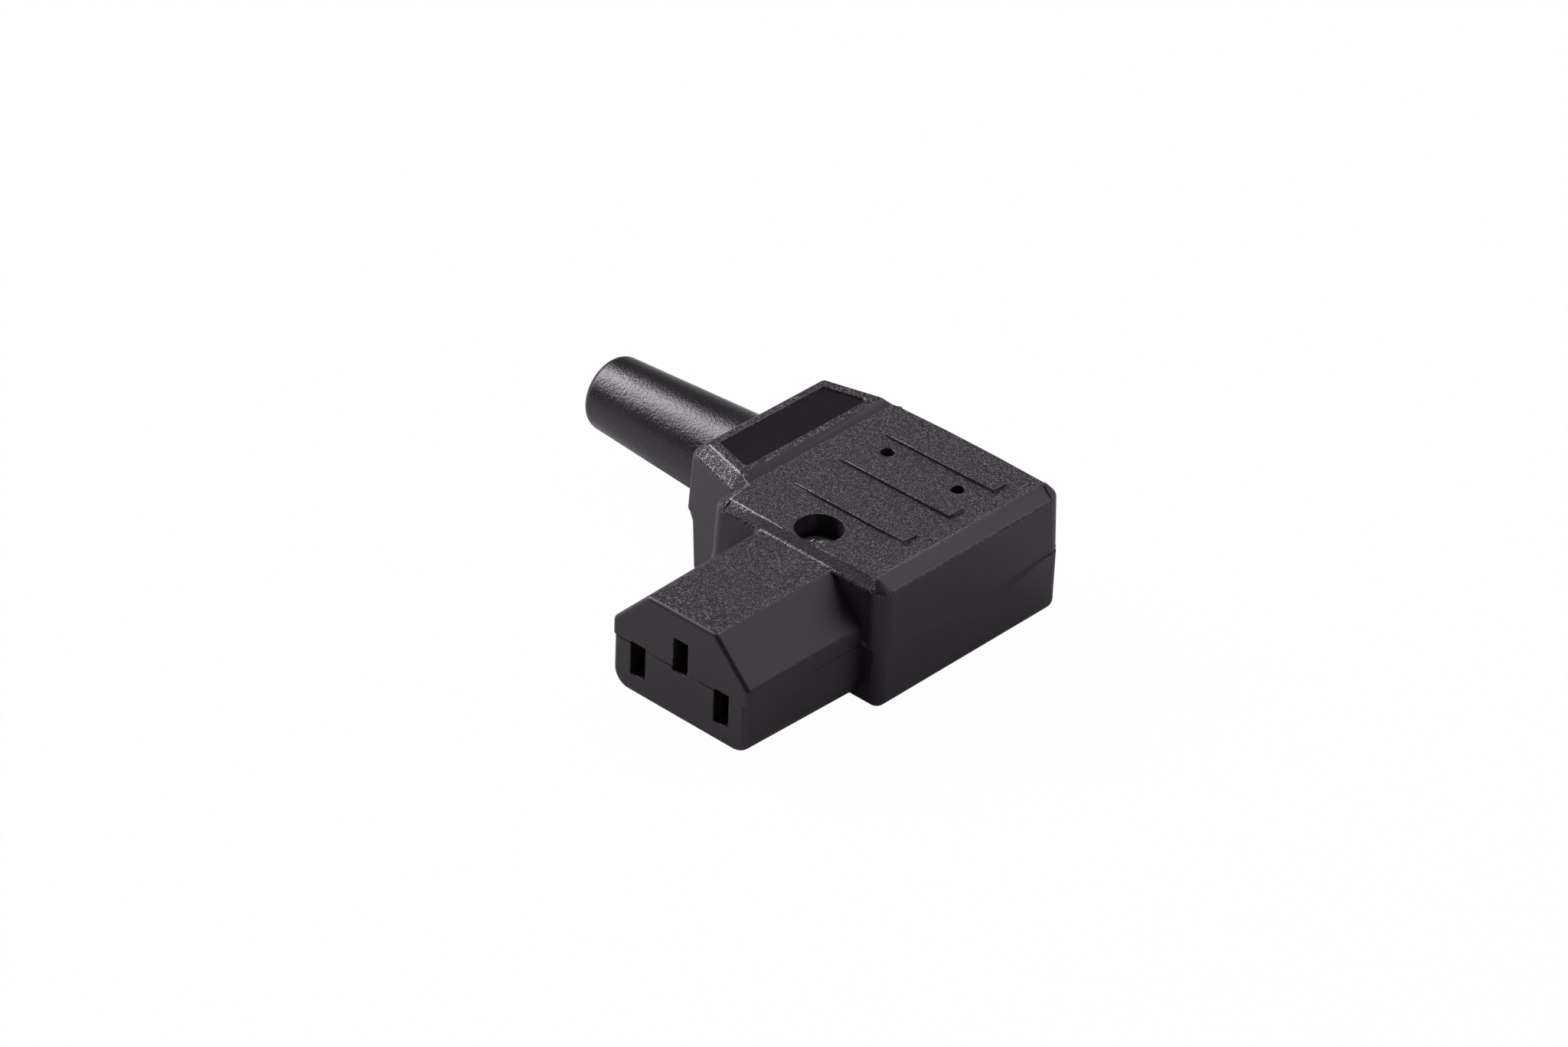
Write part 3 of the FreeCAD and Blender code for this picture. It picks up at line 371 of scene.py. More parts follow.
# Shading
class Value:
    """A number that varies over a surface; arithmetic on it adds Math nodes."""

    def __init__(self, finish, socket):
        self.finish = finish
        self.socket = socket

    def calc(self, operation, first, second):
        return self.finish.node("ShaderNodeMath", {"operation": operation}, {0: first, 1: second})

    def __add__(self, other):
        return self.calc("ADD", self, other)

    def __sub__(self, other):
        return self.calc("SUBTRACT", self, other)

    def __rsub__(self, other):
        return self.calc("SUBTRACT", other, self)

    def __mul__(self, other):
        return self.calc("MULTIPLY", self, other)

    __radd__ = __add__
    __rmul__ = __mul__

    def swing(self, amount):
        """The value's swing to both sides of its middle, times an amount."""
        return amount * (self - 0.5)


class Finish:
    """A material while it is put together."""

    def __init__(self, name):
        self.material = bpy.data.materials.new(name)
        self.material.use_nodes = True
        self.nodes = self.material.node_tree.nodes
        self.links = self.material.node_tree.links
        self.surface = self.nodes["Principled BSDF"]

    def node(self, kind, settings=None, sockets=None, output=0):
        """Adds a node: its settings first, then the values or links of its sockets."""
        added = self.nodes.new(kind)
        for name, value in (settings or {}).items():
            if name == "stops":
                self.set_stops(added.color_ramp, value)
            else:
                setattr(added, name, value)
        for name, value in (sockets or {}).items():
            self.feed(added.inputs[name], value)
        return Value(self, added.outputs[output])

    def set_stops(self, ramp, stops):
        while len(ramp.elements) < len(stops):
            ramp.elements.new(1)
        for element, (place, shade) in zip(ramp.elements, stops):
            element.position = place
            element.color = (shade, shade, shade, 1)

    def feed(self, socket, value):
        if isinstance(value, Value):
            self.links.new(value.socket, socket)
        else:
            socket.default_value = value

    def set(self, **sockets):
        """Feeds the surface's sockets, named with underscores for spaces."""
        for name, value in sockets.items():
            self.feed(self.surface.inputs[name.replace("_", " ")], value)

    def place(self):
        return self.node("ShaderNodeTexCoord", output="Object")

    def noise(self, size, detail=2.0, roughness=0.5, stretch=(1, 1, 1)):
        """Noise with features of the given size in metres, drawn out along an axis by stretch."""
        along = self.node("ShaderNodeMapping", {"vector_type": "TEXTURE"},
                          {"Vector": self.place(), "Scale": stretch})
        sockets = {"Vector": along, "Scale": 1 / size, "Detail": detail, "Roughness": roughness}
        return self.node("ShaderNodeTexNoise", {"noise_dimensions": "3D"}, sockets)

    def ramp(self, value, stops):
        return self.node("ShaderNodeValToRGB", {"stops": stops}, {"Fac": value})

    def step(self, value, low, high):
        """None below one value and all above another, with a slope between."""
        return self.ramp(value, [(0.0, 0), (low, 0), (high, 1), (1.0, 1)])

    def shades(self, factor, colour, first, second):
        """A colour that runs from one shade of itself to another."""
        sockets = {0: factor, 6: opaque(colour, first), 7: opaque(colour, second)}
        return self.node("ShaderNodeMix", {"data_type": "RGBA"}, sockets, output=2)

    def bump(self, height, distance, strength=1.0, under=None):
        sockets = {"Height": height, "Distance": distance, "Strength": strength}
        if under is not None:
            sockets["Normal"] = under
        return self.node("ShaderNodeBump", None, sockets)


def opaque(colour, shade=1.0):
    return tuple(part * shade for part in colour) + (1.0,)


def satin_plastic(settings, name, roughness, shade=1.0):
    """Smooth moulded plastic: faint flow marks, handling haze and fine scratches."""
    finish = Finish(name)
    flow = finish.noise(FLOW_MARKS, detail=3)
    haze = finish.noise(HANDLING_HAZE, detail=4, roughness=0.6)
    skin = finish.noise(MOULD_SKIN, detail=2)
    streaks = finish.noise(SCRATCHES, detail=5, roughness=0.72, stretch=(9, 1, 3))
    scratch = finish.step(streaks, low=0.66, high=0.71)
    tone = flow * 0.5 + haze * 0.5
    relief = finish.bump(skin * 0.7 + haze * 0.6, distance=0.00003, strength=0.5)
    finish.set(
        Base_Color=finish.shades(tone, settings.colour, 0.75 * shade, 1.3 * shade),
        Roughness=roughness + haze.swing(0.10) + 0.05 * scratch,
        Normal=finish.bump(scratch, distance=0.000004, strength=0.35, under=relief),
        Specular_Tint=opaque(settings.sheen))
    return finish.material


def grained_plastic(settings, name, brightness):
    """Spark-eroded plastic: flat flecks with bright rims, denser in some spots than in others; the flecks
    are painted lighter, as painted glints.
    """
    finish = Finish(name)
    fine = finish.noise(settings.grain_size, detail=2, roughness=0.6)
    coarse = finish.noise(settings.grain_size * COARSE_GRAIN, detail=2)
    patches = finish.noise(GRAIN_PATCHES, detail=2)
    grain = fine * 0.8 + coarse * 0.2
    flecks = finish.ramp(grain, FLECK_STOPS)
    relief = finish.ramp(grain, RELIEF_STOPS)
    finish.set(
        # Painted glints: the flecks are painted lighter than the plastic, up to the given brightness
        Base_Color=finish.shades(flecks, settings.colour, 0.4, brightness),
        Roughness=settings.grain_roughness + patches.swing(0.12) + 0.06 * (1 - flecks),
        Normal=finish.bump(relief * (0.75 + 0.5 * patches), settings.grain_depth),
        Specular_Tint=opaque(settings.sheen))
    return finish.material


def rubbed_edge_highlights(settings, name):
    """Rounded edges rubbed smooth by handling: glossier, with the last of the grain left on them as specks
    painted lighter, painted highlights.
    """
    finish = Finish(name)
    grain = finish.noise(settings.grain_size * EDGE_GRAIN, detail=2)
    highlight_specks = finish.step(grain, low=0.5, high=0.62)
    finish.set(
        # Painted highlights: the specks are painted up to four times lighter than the plastic
        Base_Color=finish.shades(highlight_specks, settings.colour, 1.0, 4.0),
        Roughness=settings.edge_roughness + grain.swing(0.3),
        Normal=finish.bump(grain, distance=0.00010, strength=0.9),
        Specular_Tint=opaque(settings.sheen))
    return finish.material


def sleeve_rubber(settings):
    """Soft sleeve: satin, with a fine skin and a little bloom along the flank."""
    finish = Finish("sleeve_rubber")
    skin = finish.noise(RUBBER_SKIN, detail=3, roughness=0.65)
    bloom = finish.noise(RUBBER_BLOOM, detail=3, stretch=(2, 1, 1))
    finish.set(
        Base_Color=finish.shades(bloom, settings.colour, 0.8, 1.25),
        Roughness=settings.roughness + bloom.swing(0.14) + skin.swing(0.20),
        Normal=finish.bump(skin + 0.8 * bloom, distance=0.00010, strength=0.7),
        Specular_Tint=opaque(settings.sheen))
    return finish.material


def worked_metal(name, colour, roughness, dullness, grain=(1, 1, 1)):
    """Metal with drawn or turned marks and a patchy film of age."""
    finish = Finish(name)
    marks = finish.noise(TOOL_MARKS, detail=3, stretch=grain)
    film = finish.noise(AGED_FILM, detail=4, roughness=0.6)
    aged = finish.step(film, low=0.38, high=0.68)
    finish.set(
        Base_Color=finish.shades(aged * dullness, colour, 1.0, 0.45),
        Metallic=1.0,
        Roughness=roughness + 0.22 * aged * dullness + marks.swing(0.10),
        Normal=finish.bump(marks, distance=0.000006, strength=0.5))
    return finish.material


# Shaping
def joined_copy(node):
    """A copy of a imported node's mesh with its triangles joined into flats."""
    shape = bmesh.new()
    shape.from_mesh(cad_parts[node].data)
    bmesh.ops.remove_doubles(shape, verts=shape.verts, dist=MERGE)
    bmesh.ops.dissolve_limit(
        shape, angle_limit=FLAT_ANGLE, use_dissolve_boundaries=False,
        verts=shape.verts, edges=shape.edges, delimit=set())
    shape.normal_update()
    return shape


def piece_from(shape, name, materials, replaced):
    """Turns a finished bmesh into a piece of the connector."""
    mesh = bpy.data.meshes.new(name)
    shape.to_mesh(mesh)
    shape.free()
    piece = bpy.data.objects.new(name, mesh)
    bpy.context.scene.collection.objects.link(piece)
    for material in materials:
        mesh.materials.append(material)
    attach(piece, "root")
    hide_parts(*replaced)
    return piece


def soften(shape):
    """Smooth shading, with a crease wherever the surface turns sharply."""
    shape.normal_update()
    for face in shape.faces:
        face.smooth = True
    for edge in shape.edges:
        edge.smooth = len(edge.link_faces) == 2 and edge.calc_face_angle(0) < CREASE_ANGLE


def even_normals(piece):
    """Keeps large flats flat where they run into rounded edges."""
    piece.modifiers.new("even_normals", "WEIGHTED_NORMAL").keep_sharp = True


def lathe(profile, steps, centre, axis):
    """A closed profile of points turned fully about an axis through a centre."""
    shape = bmesh.new()
    corners = [shape.verts.new(point) for point in profile]
    edges = [shape.edges.new(pair) for pair in zip(corners, corners[1:] + corners[:1])]
    bmesh.ops.spin(
        shape, geom=corners + edges, cent=centre, axis=axis, angle=math.tau,
        steps=steps, use_merge=True, use_duplicate=False)
    bmesh.ops.remove_doubles(shape, verts=shape.verts, dist=MERGE)
    bmesh.ops.recalc_face_normals(shape, faces=shape.faces)
    return shape


def arc(centre_u, centre_v, radius, start, end, steps):
    """Points along an arc, from one angle in degrees to another."""
    points = []
    for step in range(steps + 1):
        angle = math.radians(start + (end - start) * step / steps)
        points.append((centre_u + radius * math.cos(angle), centre_v + radius * math.sin(angle)))
    return points


# Housing
def open_air_test():
    """A function that tells whether a direction from a place leads out of the closed housing."""
    both = bmesh.new()
    for node in ("base_shell", "cover_shell"):
        both.from_mesh(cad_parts[node].data)
    tree = BVHTree.FromBMesh(both)
    both.free()
    reach = (cad_bounds[1] - cad_bounds[0]).length

    def is_open(place, direction):
        return tree.ray_cast(place + direction * PROBE_LIFT, direction, reach)[0] is None

    return is_open


def edge_share(edge, settings, is_open):
    """How much of the outline's rounding an edge gets: all, a part, or none where it stays hidden."""
    if len(edge.link_faces) != 2:
        return 0
    turn = edge.calc_face_angle_signed(0)
    middle = (edge.verts[0].co + edge.verts[1].co) / 2
    normals = [face.normal for face in edge.link_faces]
    from_front = middle.y - settings.block_front
    on_ledge = middle.z > parting_height and all(normal.z > LEDGE for normal in normals)
    if turn < -settings.edge_angle and on_ledge:
        return 1 if abs(from_front) < settings.shoulder_drop else 0
    outward = (normals[0] + normals[1]).normalized()
    if turn < settings.edge_angle or not is_open(middle, outward):
        return 0
    narrow = settings.edge_round / settings.outline_round
    if (middle - screw_middle).to_2d().length < settings.well_border:
        upright = any(abs(normal.z) < UPRIGHT for normal in normals)
        near_front = from_front < settings.shoulder_drop * WELL_FRONT
        return 0 if upright and near_front else narrow * WELL_SHARE
    near_seam = middle.z < parting_height + settings.seam_border
    on_outline = all(is_open(middle + outward * MERGE, normal) for normal in normals)
    on_rib = middle.z > cover_high.z - settings.neck_rise + MERGE and middle.x > settings.ramp_foot
    return 1 if on_outline and not on_rib and not near_seam else narrow


def split_faces(shape, faces, place, across):
    """Cuts some faces in two along a plane, so that one corner's rounding can't pull at the whole face."""
    parts = dict.fromkeys(part for face in faces for part in (face, *face.edges, *face.verts))
    bmesh.ops.bisect_plane(shape, geom=list(parts), plane_co=place, plane_no=across)


def level_faces(shape, height):
    """The faces that lie level at a height."""
    return [face for face in shape.faces
            if all(abs(corner.co.z - height) < MERGE for corner in face.verts)]


def split_cover(shape, settings):
    """Cuts the cover's large faces by the nose, beside the well and on the neck's rim."""
    seams = level_faces(shape, parting_height)
    split_faces(shape, seams, (0, nose_face + settings.corner_strip, 0), (0, 1, 0))
    for side in (-1, 1):
        split_faces(shape, shape.faces[:], (side * settings.well_border, 0, 0), (1, 0, 0))
    for side, outermost in ((-1, min), (1, max)):
        rims = level_faces(shape, cover_high.z)
        end = outermost(corner.co.y for face in rims for corner in face.verts)
        split_faces(shape, rims, (0, end - side * settings.corner_strip, 0), (0, 1, 0))
        fronts = [face for face in shape.faces if face.normal.y < -SQUARE
                  and abs(face.calc_center_median().y - settings.block_front) < WALL_DRAFT]
        split_faces(shape, fronts, (side * settings.nose_strip, 0, 0), (1, 0, 0))


def cover_finish(face, settings):
    """Which finish a face of the cover has, by its place and its slope; the label recess and the front
    border get the finishes with painted shade.
    """
    middle = face.calc_center_median()
    normal = face.normal
    block_top = cover_high.z - settings.neck_rise
    label_floor = cover_high.z - settings.label_depth
    if middle.x < settings.ramp_foot and abs(middle.z - label_floor) < MERGE:
        return LABEL_POLISH_SHADED
    if middle.y < settings.block_front:
        return GRAINED_TOP_GLINTS if normal.z > SQUARE and middle.z > parting_height else COVER_SATIN
    on_top = middle.z > block_top - settings.shoulder_drop
    at_front = middle.y < settings.block_front + settings.shoulder_drop
    if on_top and at_front and SLOPE < normal.z < SQUARE:
        return GRAINED_BORDER_SHADED if middle.x > settings.ramp_foot and normal.x < SLOPE else COVER_SATIN
    return GRAINED_TOP_GLINTS if on_top and normal.z > SLOPE and normal.x < SLOPE else COVER_SATIN


def join_short_edges(shape, settings, is_open):
    """Joins the short pieces that small corners of the block's top are made of."""
    block_top = cover_high.z - settings.neck_rise
    short = [edge for edge in shape.edges
             if edge.calc_length() < settings.short_edge
             and all(abs(corner.co.z - block_top) < MERGE for corner in edge.verts)
             and edge_share(edge, settings, is_open) == 1]
    bmesh.ops.collapse(shape, edges=short, uvs=False)
    shape.normal_update()


def rounded_moulding(node, name, materials, settings, prepare=None, choose=None):
    """A moulding with its outside edges rounded, wide on the main form and narrow elsewhere."""
    shape = joined_copy(node)
    is_open = open_air_test()
    if prepare:
        prepare(shape, settings)
        shape.normal_update()
    join_short_edges(shape, settings, is_open)
    for face in shape.faces:
        face.material_index = choose(face, settings) if choose else 0
    soften(shape)
    shares = shape.edges.layers.float.new("bevel_weight_edge")
    for edge in shape.edges:
        edge[shares] = edge_share(edge, settings, is_open)
        edge.smooth = edge.smooth or edge[shares] > 0
    piece = piece_from(shape, name, materials, [node])
    rounding = piece.modifiers.new("edge_rounding", "BEVEL")
    rounding.limit_method = "WEIGHT"
    rounding.width = settings.outline_round
    rounding.segments = settings.edge_steps
    rounding.profile = 0.5
    rounding.material = len(materials) - 1
    rounding.use_clamp_overlap = False
    even_normals(piece)


class CONNECTOR_OT_cover_moulding(bpy.types.Operator):
    """Add the upper moulding with its ribs, well and label recess"""

    bl_idname = "connector.cover_moulding"
    bl_label = "Cover Moulding"

    def execute(self, context):
        settings = context.scene.connector_housing
        flecks = settings.fleck_glint_brightness
        materials = [
            satin_plastic(settings, "cover_satin", settings.satin_roughness),
            # Painted glints: the grain's flecks on the tops are painted lighter than the plastic
            grained_plastic(settings, "grained_top", flecks),
            # Painted shade: the label recess is painted darker than the rest of the cover
            satin_plastic(settings, "label_polish", settings.polish_roughness, LABEL_PAINTED_SHADE),
            # Painted shade: the front border's flecks are painted dimmer than the top's
            grained_plastic(settings, "grained_border", flecks * BORDER_PAINTED_SHADE),
            rubbed_edge_highlights(settings, "cover_edges")]
        rounded_moulding("cover_shell", "cover_moulding", materials, settings, split_cover, cover_finish)
        return {"FINISHED"}


class CONNECTOR_OT_base_moulding(bpy.types.Operator):
    """Add the lower moulding with its nut pocket"""

    bl_idname = "connector.base_moulding"
    bl_label = "Base Moulding"

    def execute(self, context):
        settings = context.scene.connector_housing
        materials = [satin_plastic(settings, "base_satin", settings.satin_roughness)]
        rounded_moulding("base_shell", "base_moulding", materials, settings)
        return {"FINISHED"}


# Sleeve
class CONNECTOR_OT_sleeve(bpy.types.Operator):
    """Add the soft tapered sleeve"""

    bl_idname = "connector.sleeve"
    bl_label = "Sleeve"

    def execute(self, context):
        settings = context.scene.connector_sleeve
        tip = sleeve_low.x
        end = sleeve_high.x
        shoulder = neck_end - settings.shoulder_gap
        groove_end = end - settings.flange
        flange_radius = (sleeve_high.z - sleeve_low.z) / 2
        lip = settings.lip_round
        corner = settings.tip_round
        profile = arc(tip + lip, settings.bore_radius + lip, lip, -90, -180, LIP_STEPS)
        profile += arc(tip + corner, settings.tip_radius - corner, corner, 180, 90, TIP_STEPS)
        profile += arc(shoulder - lip, settings.root_radius - lip, lip, 90, 0, LIP_STEPS)
        profile += [(shoulder, settings.groove_radius), (groove_end, settings.groove_radius)]
        profile += [(groove_end, flange_radius), (end, flange_radius), (end, settings.bore_radius)]
        points = [(x, cord_axis.y, cord_axis.z + radius) for x, radius in profile]
        shape = lathe(points, settings.steps, cord_axis, (1, 0, 0))
        soften(shape)
        piece = piece_from(shape, "cord_sleeve", [sleeve_rubber(settings)], ["bend_relief_sleeve"])
        even_normals(piece)
        return {"FINISHED"}


# Cover screw
def screw_profile(settings):
    """Half outline of the screw, from the tip up to the middle of the head: (radius, height)."""
    seat = screw_high.z - settings.head_height
    head_radius = (screw_high.x - screw_low.x) / 2
    pitch = settings.thread_pitch
    outer = settings.thread_radius
    root = outer - pitch * THREAD_DEPTH
    tip = screw_low.z
    profile = [(0, tip), (root, tip)]
    for turn in range(int(settings.thread_length / pitch)):
        low = tip + turn * pitch
        profile += [(outer, low + pitch * THREAD_CREST), (root, low + pitch * THREAD_ROOT)]
    profile += [(root, seat - pitch), (outer, seat - pitch / 2), (outer, seat), (head_radius, seat)]
    corner = settings.head_round
    profile += arc(head_radius - corner, screw_high.z - corner, corner, 0, 90, HEAD_STEPS)
    return profile + [(0, screw_high.z)]


def spare_object(shape, name):
    """Puts a bmesh into the scene for as long as a cut needs it."""
    mesh = bpy.data.meshes.new(name)
    shape.to_mesh(mesh)
    shape.free()
    spare = bpy.data.objects.new(name, mesh)
    bpy.context.scene.collection.objects.link(spare)
    return spare


def recess_wing(settings, turn):
    """A wedge that cuts one bar of the cross recess."""
    cutter = bmesh.new()
    bmesh.ops.create_cube(cutter, size=1)
    for corner in cutter.verts:
        deep = corner.co.z < 0
        corner.co.x *= settings.recess_spread * (RECESS_FLOOR if deep else 1.0)
        corner.co.y *= settings.recess_width * (WING_FLOOR if deep else WING_MOUTH)
        corner.co.z = -settings.recess_depth if deep else settings.head_round
    bmesh.ops.rotate(cutter, verts=cutter.verts, cent=(0, 0, 0), matrix=Matrix.Rotation(turn, 3, "Z"))
    bmesh.ops.translate(cutter, verts=cutter.verts, vec=(screw_middle.x, screw_middle.y, screw_high.z))
    return spare_object(cutter, "recess_wing")


def cut_away(shape, cutters):
    """The bmesh with the cutters' space taken out of it; the cutters are removed."""
    blank = spare_object(shape, "blank")
    for cutter in cutters:
        modifier = blank.modifiers.new(cutter.name, "BOOLEAN")
        modifier.operation = "DIFFERENCE"
        modifier.solver = "EXACT"
        modifier.object = cutter
    bpy.context.view_layer.update()
    cut = bpy.data.meshes.new_from_object(blank.evaluated_get(bpy.context.evaluated_depsgraph_get()))
    result = bmesh.new()
    result.from_mesh(cut)
    for spare in [blank] + cutters:
        bpy.data.objects.remove(spare)
    return result


def is_recess_rim(edge):
    """Whether an edge is where the cross recess meets the top of the head."""
    level = all(abs(corner.co.z - screw_high.z) < MERGE for corner in edge.verts)
    return level and len(edge.link_faces) == 2 and edge.calc_face_angle(0) > RECESS_RIM_ANGLE


class CONNECTOR_OT_cover_screw(bpy.types.Operator):
    """Add the cross-recessed screw in the well"""

    bl_idname = "connector.cover_screw"
    bl_label = "Cover Screw"

    def execute(self, context):
        settings = context.scene.connector_screw
        points = [(screw_middle.x + radius, screw_middle.y, height)
                  for radius, height in screw_profile(settings)]
        shape = lathe(points, settings.steps, screw_middle, (0, 0, 1))
        turns = (settings.recess_turn, settings.recess_turn + math.radians(90))
        shape = cut_away(shape, [recess_wing(settings, turn) for turn in turns])
        shape.normal_update()
        rim = [edge for edge in shape.edges if is_recess_rim(edge)]
        bmesh.ops.bevel(
            shape, geom=rim, offset=settings.recess_round, offset_type="OFFSET", affect="EDGES",
            segments=BREAK_STEPS, profile=0.5, material=-1, clamp_overlap=True)
        soften(shape)
        steel = worked_metal("worn_steel", settings.colour, roughness=0.24, dullness=0.5)
        piece = piece_from(shape, "cross_recessed_screw", [steel], ["cover_screw"])
        even_normals(piece)
        return {"FINISHED"}


# Metal pieces inside, and the cord grip
def dress(node, material, edge_break):
    """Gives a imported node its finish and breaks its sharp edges."""
    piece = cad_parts[node]
    piece.data.materials.clear()
    piece.data.materials.append(material)
    weld = piece.modifiers.new("join_triangles", "WELD")
    weld.merge_threshold = MERGE
    bevel = piece.modifiers.new("edge_break", "BEVEL")
    bevel.limit_method = "ANGLE"
    bevel.angle_limit = METAL_EDGE_ANGLE
    bevel.width = edge_break
    bevel.segments = BREAK_STEPS
    even_normals(piece)


class CONNECTOR_OT_contacts(bpy.types.Operator):
    """Finish the three socket contacts, their clips and their terminals"""

    bl_idname = "connector.contacts"
    bl_label = "Contacts and Terminals"

    def execute(self, context):
        settings = context.scene.connector_metal
        rolled = worked_metal("rolled_brass", settings.brass, roughness=0.26, dullness=0.5, grain=(1, 8, 1))
        milled = worked_metal("machined_brass", settings.brass, roughness=0.32, dullness=0.6)
        spring = worked_metal("spring_steel", settings.spring, roughness=0.30, dullness=0.4, grain=(1, 6, 1))
        for pole in ("line", "neutral", "earth"):
            dress(pole + "_contact", rolled, settings.edge_break)
            dress(pole + "_contact_clip", spring, settings.edge_break)
            dress(pole + "_terminal", milled, settings.edge_break)
        return {"FINISHED"}


class CONNECTOR_OT_fasteners(bpy.types.Operator):
    """Finish the nut, the terminal screws and the screws of the cord grip"""

    bl_idname = "connector.fasteners"
    bl_label = "Nut and Screws"

    def execute(self, context):
        settings = context.scene.connector_metal
        plated = worked_metal("plated_steel", settings.zinc, roughness=0.30, dullness=0.6)
        for node in ("cover_nut", "terminal_screws", "cord_grip_screws"):
            dress(node, plated, settings.edge_break)
        return {"FINISHED"}


class CONNECTOR_OT_cord_grip(bpy.types.Operator):
    """Finish the moulded bar that holds the cord"""

    bl_idname = "connector.cord_grip"
    bl_label = "Cord Grip"

    def execute(self, context):
        housing = context.scene.connector_housing
        plastic = satin_plastic(housing, "grip_satin", housing.satin_roughness)
        dress("cord_grip_bar", plastic, context.scene.connector_metal.edge_break)
        return {"FINISHED"}


# Stage
def add_camera(settings):
    """A camera at the given place, turned to the given azimuth, elevation and roll."""
    azimuth = settings.camera_azimuth
    elevation = settings.camera_elevation
    back = Vector((math.sin(azimuth) * math.cos(elevation), -math.cos(azimuth) * math.cos(elevation),
                   math.sin(elevation)))
    right = Vector((0, 0, 1)).cross(back).normalized()
    facing = Matrix((right, back.cross(right), back)).transposed()
    turned = facing @ Matrix.Rotation(settings.camera_roll, 3, "Z")
    camera = bpy.data.objects.new("camera", bpy.data.cameras.new("camera"))
    camera.data.sensor_width = SENSOR_WIDTH
    camera.data.lens = settings.lens
    camera.data.clip_start = CLIP_START
    camera.data.clip_end = CLIP_END
    camera.matrix_world = Matrix.Translation(settings.camera_place) @ turned.to_4x4()
    bpy.context.scene.collection.objects.link(camera)
    bpy.context.scene.camera = camera


def add_softbox(name, direction, distance, width, power):
    """A square soft lamp that looks at the middle of the connector."""
    data = bpy.data.lights.new(name, "AREA")
    data.shape = "SQUARE"
    data.size = width
    data.energy = power
    lamp = bpy.data.objects.new(name, data)
    aim = Vector(direction).normalized()
    lamp.location = (cad_bounds[0] + cad_bounds[1]) / 2 + aim * distance
    lamp.rotation_euler = aim.to_track_quat("Z", "Y").to_euler()
    bpy.context.scene.collection.objects.link(lamp)


def white_floor_finish(settings):
    """A pale floor that the camera sees as white, with a soft shadow left on it."""
    finish = Finish("pale_floor")
    finish.set(Base_Color=opaque(settings.floor_colour), Roughness=0.9, Specular_IOR_Level=0.0)
    seen = finish.node("ShaderNodeLightPath", output="Is Camera Ray")
    mirrored = finish.node("ShaderNodeLightPath", output="Is Glossy Ray")
    through = finish.node("ShaderNodeLightPath", output="Is Transmission Ray")
    lift = FLOOR_WHITE * seen + FLOOR_GLOW * mirrored + FLOOR_GLOW * through
    glow = finish.node("ShaderNodeEmission", None, {"Color": (1, 1, 1, 1), "Strength": 1.0})
    plain = Value(finish, finish.surface.outputs["BSDF"])
    mixed = finish.node("ShaderNodeMixShader", None, {0: lift, 1: plain, 2: glow})
    finish.feed(finish.nodes["Material Output"].inputs["Surface"], mixed)
    return finish.material


def add_floor(settings):
    """A level floor under the connector, which stays out of the part."""
    plane = bmesh.new()
    bmesh.ops.create_grid(plane, x_segments=1, y_segments=1, size=FLOOR_REACH)
    mesh = bpy.data.meshes.new("floor")
    plane.to_mesh(mesh)
    plane.free()
    mesh.materials.append(white_floor_finish(settings))
    floor = bpy.data.objects.new("floor", mesh)
    bpy.context.scene.collection.objects.link(floor)


def add_room(settings):
    """Even white light from all round."""
    world = bpy.data.worlds.new("room")
    world.use_nodes = True
    background = world.node_tree.nodes["Background"]
    background.inputs["Color"].default_value = (1, 1, 1, 1)
    background.inputs["Strength"].default_value = settings.room
    bpy.context.scene.world = world


class CONNECTOR_OT_stage(bpy.types.Operator):
    """Add the camera, the lamps, the room light and the floor"""

    bl_idname = "connector.stage"
    bl_label = "Stage"

    def execute(self, context):
        settings = context.scene.connector_stage
        add_camera(settings)
        for name, direction, distance, width, power in SOFTBOXES:
            add_softbox(name, direction, distance, width, getattr(settings, power))
        add_room(settings)
        add_floor(settings)
        context.scene.view_settings.view_transform = "Standard"
        return {"FINISHED"}


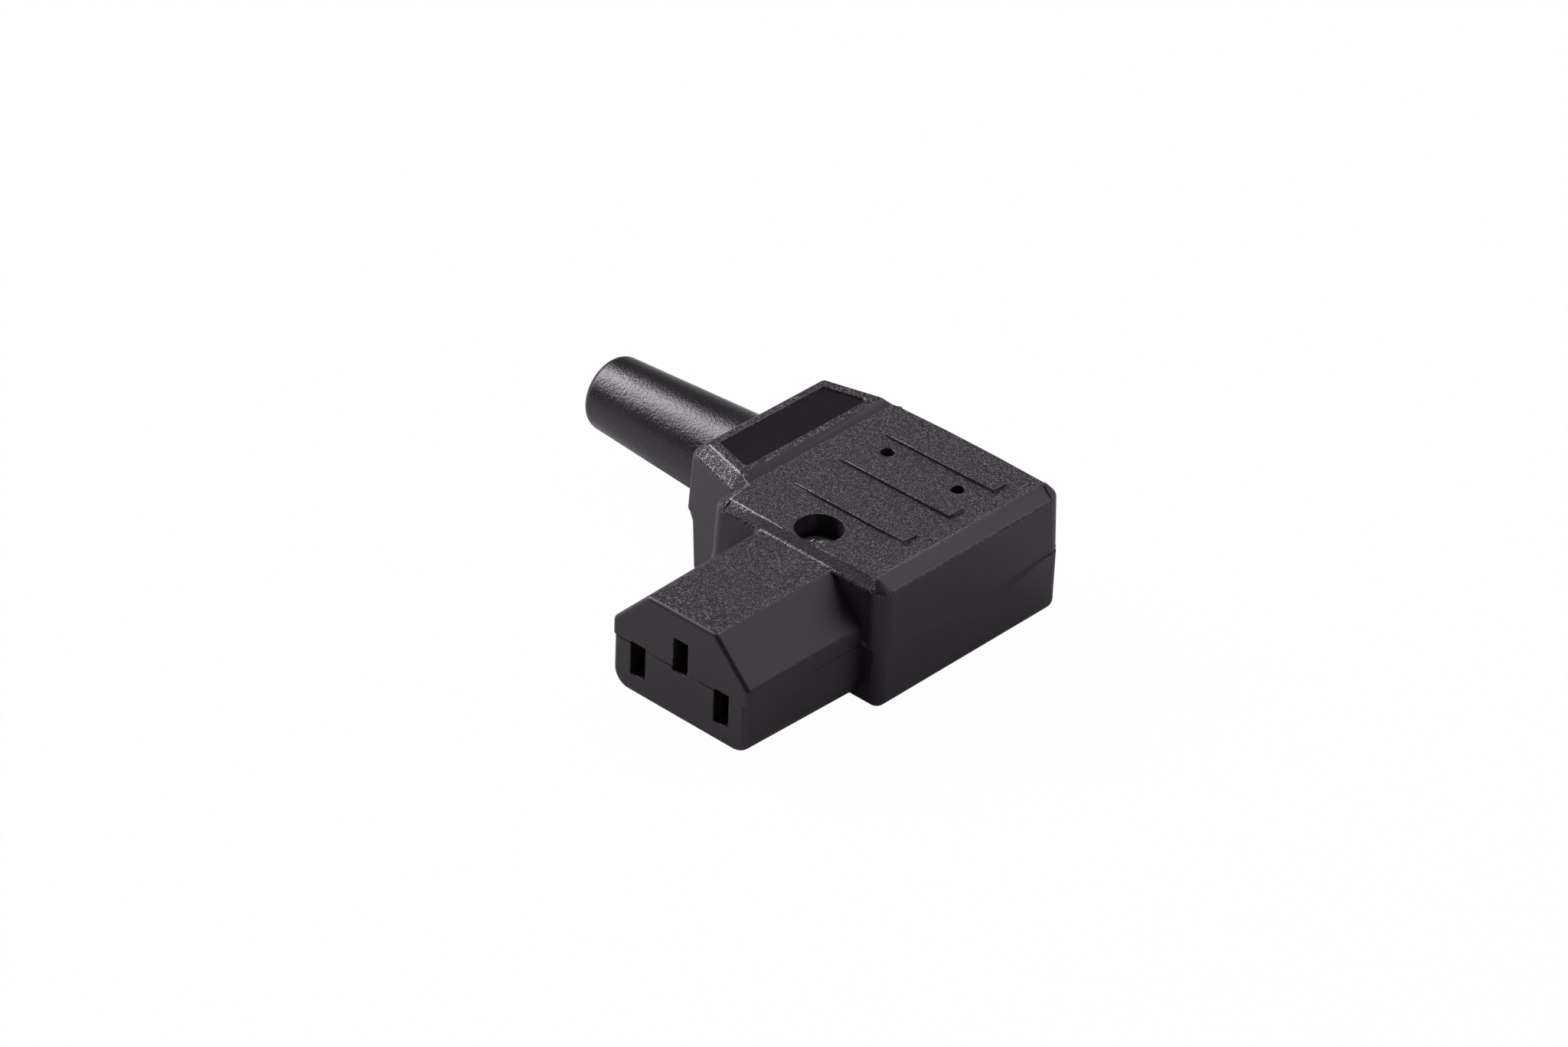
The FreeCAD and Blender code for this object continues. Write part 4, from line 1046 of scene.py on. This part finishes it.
# Sidebar panel
class CONNECTOR_PT_panel(bpy.types.Panel):
    """The connector's pieces and settings"""

    bl_idname = "CONNECTOR_PT_panel"
    bl_label = "Angled Connector"
    bl_space_type = "VIEW_3D"
    bl_region_type = "UI"
    bl_category = "Connector"

    def draw(self, context):
        for title, name, operators in PANEL_ROWS:
            box = self.layout.box()
            box.label(text=title)
            settings = getattr(context.scene, name)
            for key in settings.bl_rna.properties.keys():
                if key not in ("rna_type", "name"):
                    box.prop(settings, key)
            for operator in operators:
                box.operator(operator)


PANEL_ROWS = (
    ("Housing", "connector_housing", ("connector.cover_moulding", "connector.base_moulding")),
    ("Sleeve", "connector_sleeve", ("connector.sleeve",)),
    ("Cover screw", "connector_screw", ("connector.cover_screw",)),
    ("Metal", "connector_metal", ("connector.contacts", "connector.fasteners", "connector.cord_grip")),
    ("Stage", "connector_stage", ("connector.stage",)),
)

SETTINGS = {
    "connector_housing": HousingSettings,
    "connector_sleeve": SleeveSettings,
    "connector_screw": ScrewSettings,
    "connector_metal": MetalSettings,
    "connector_stage": StageSettings,
}

OPERATORS = (
    CONNECTOR_OT_cover_moulding,
    CONNECTOR_OT_base_moulding,
    CONNECTOR_OT_sleeve,
    CONNECTOR_OT_cover_screw,
    CONNECTOR_OT_contacts,
    CONNECTOR_OT_fasteners,
    CONNECTOR_OT_cord_grip,
    CONNECTOR_OT_stage,
)


def register():
    for name, group in SETTINGS.items():
        bpy.utils.register_class(group)
        setattr(bpy.types.Scene, name, PointerProperty(type=group))
    for entry in OPERATORS + (CONNECTOR_PT_panel,):
        bpy.utils.register_class(entry)


def unregister():
    for entry in reversed(OPERATORS + (CONNECTOR_PT_panel,)):
        bpy.utils.unregister_class(entry)
    for name, group in SETTINGS.items():
        delattr(bpy.types.Scene, name)
        bpy.utils.unregister_class(group)


def main():
    register()
    bpy.ops.connector.cover_moulding()
    bpy.ops.connector.base_moulding()
    bpy.ops.connector.sleeve()
    bpy.ops.connector.cover_screw()
    bpy.ops.connector.contacts()
    bpy.ops.connector.fasteners()
    bpy.ops.connector.cord_grip()
    bpy.ops.connector.stage()


if __name__ == "__main__":
    main()
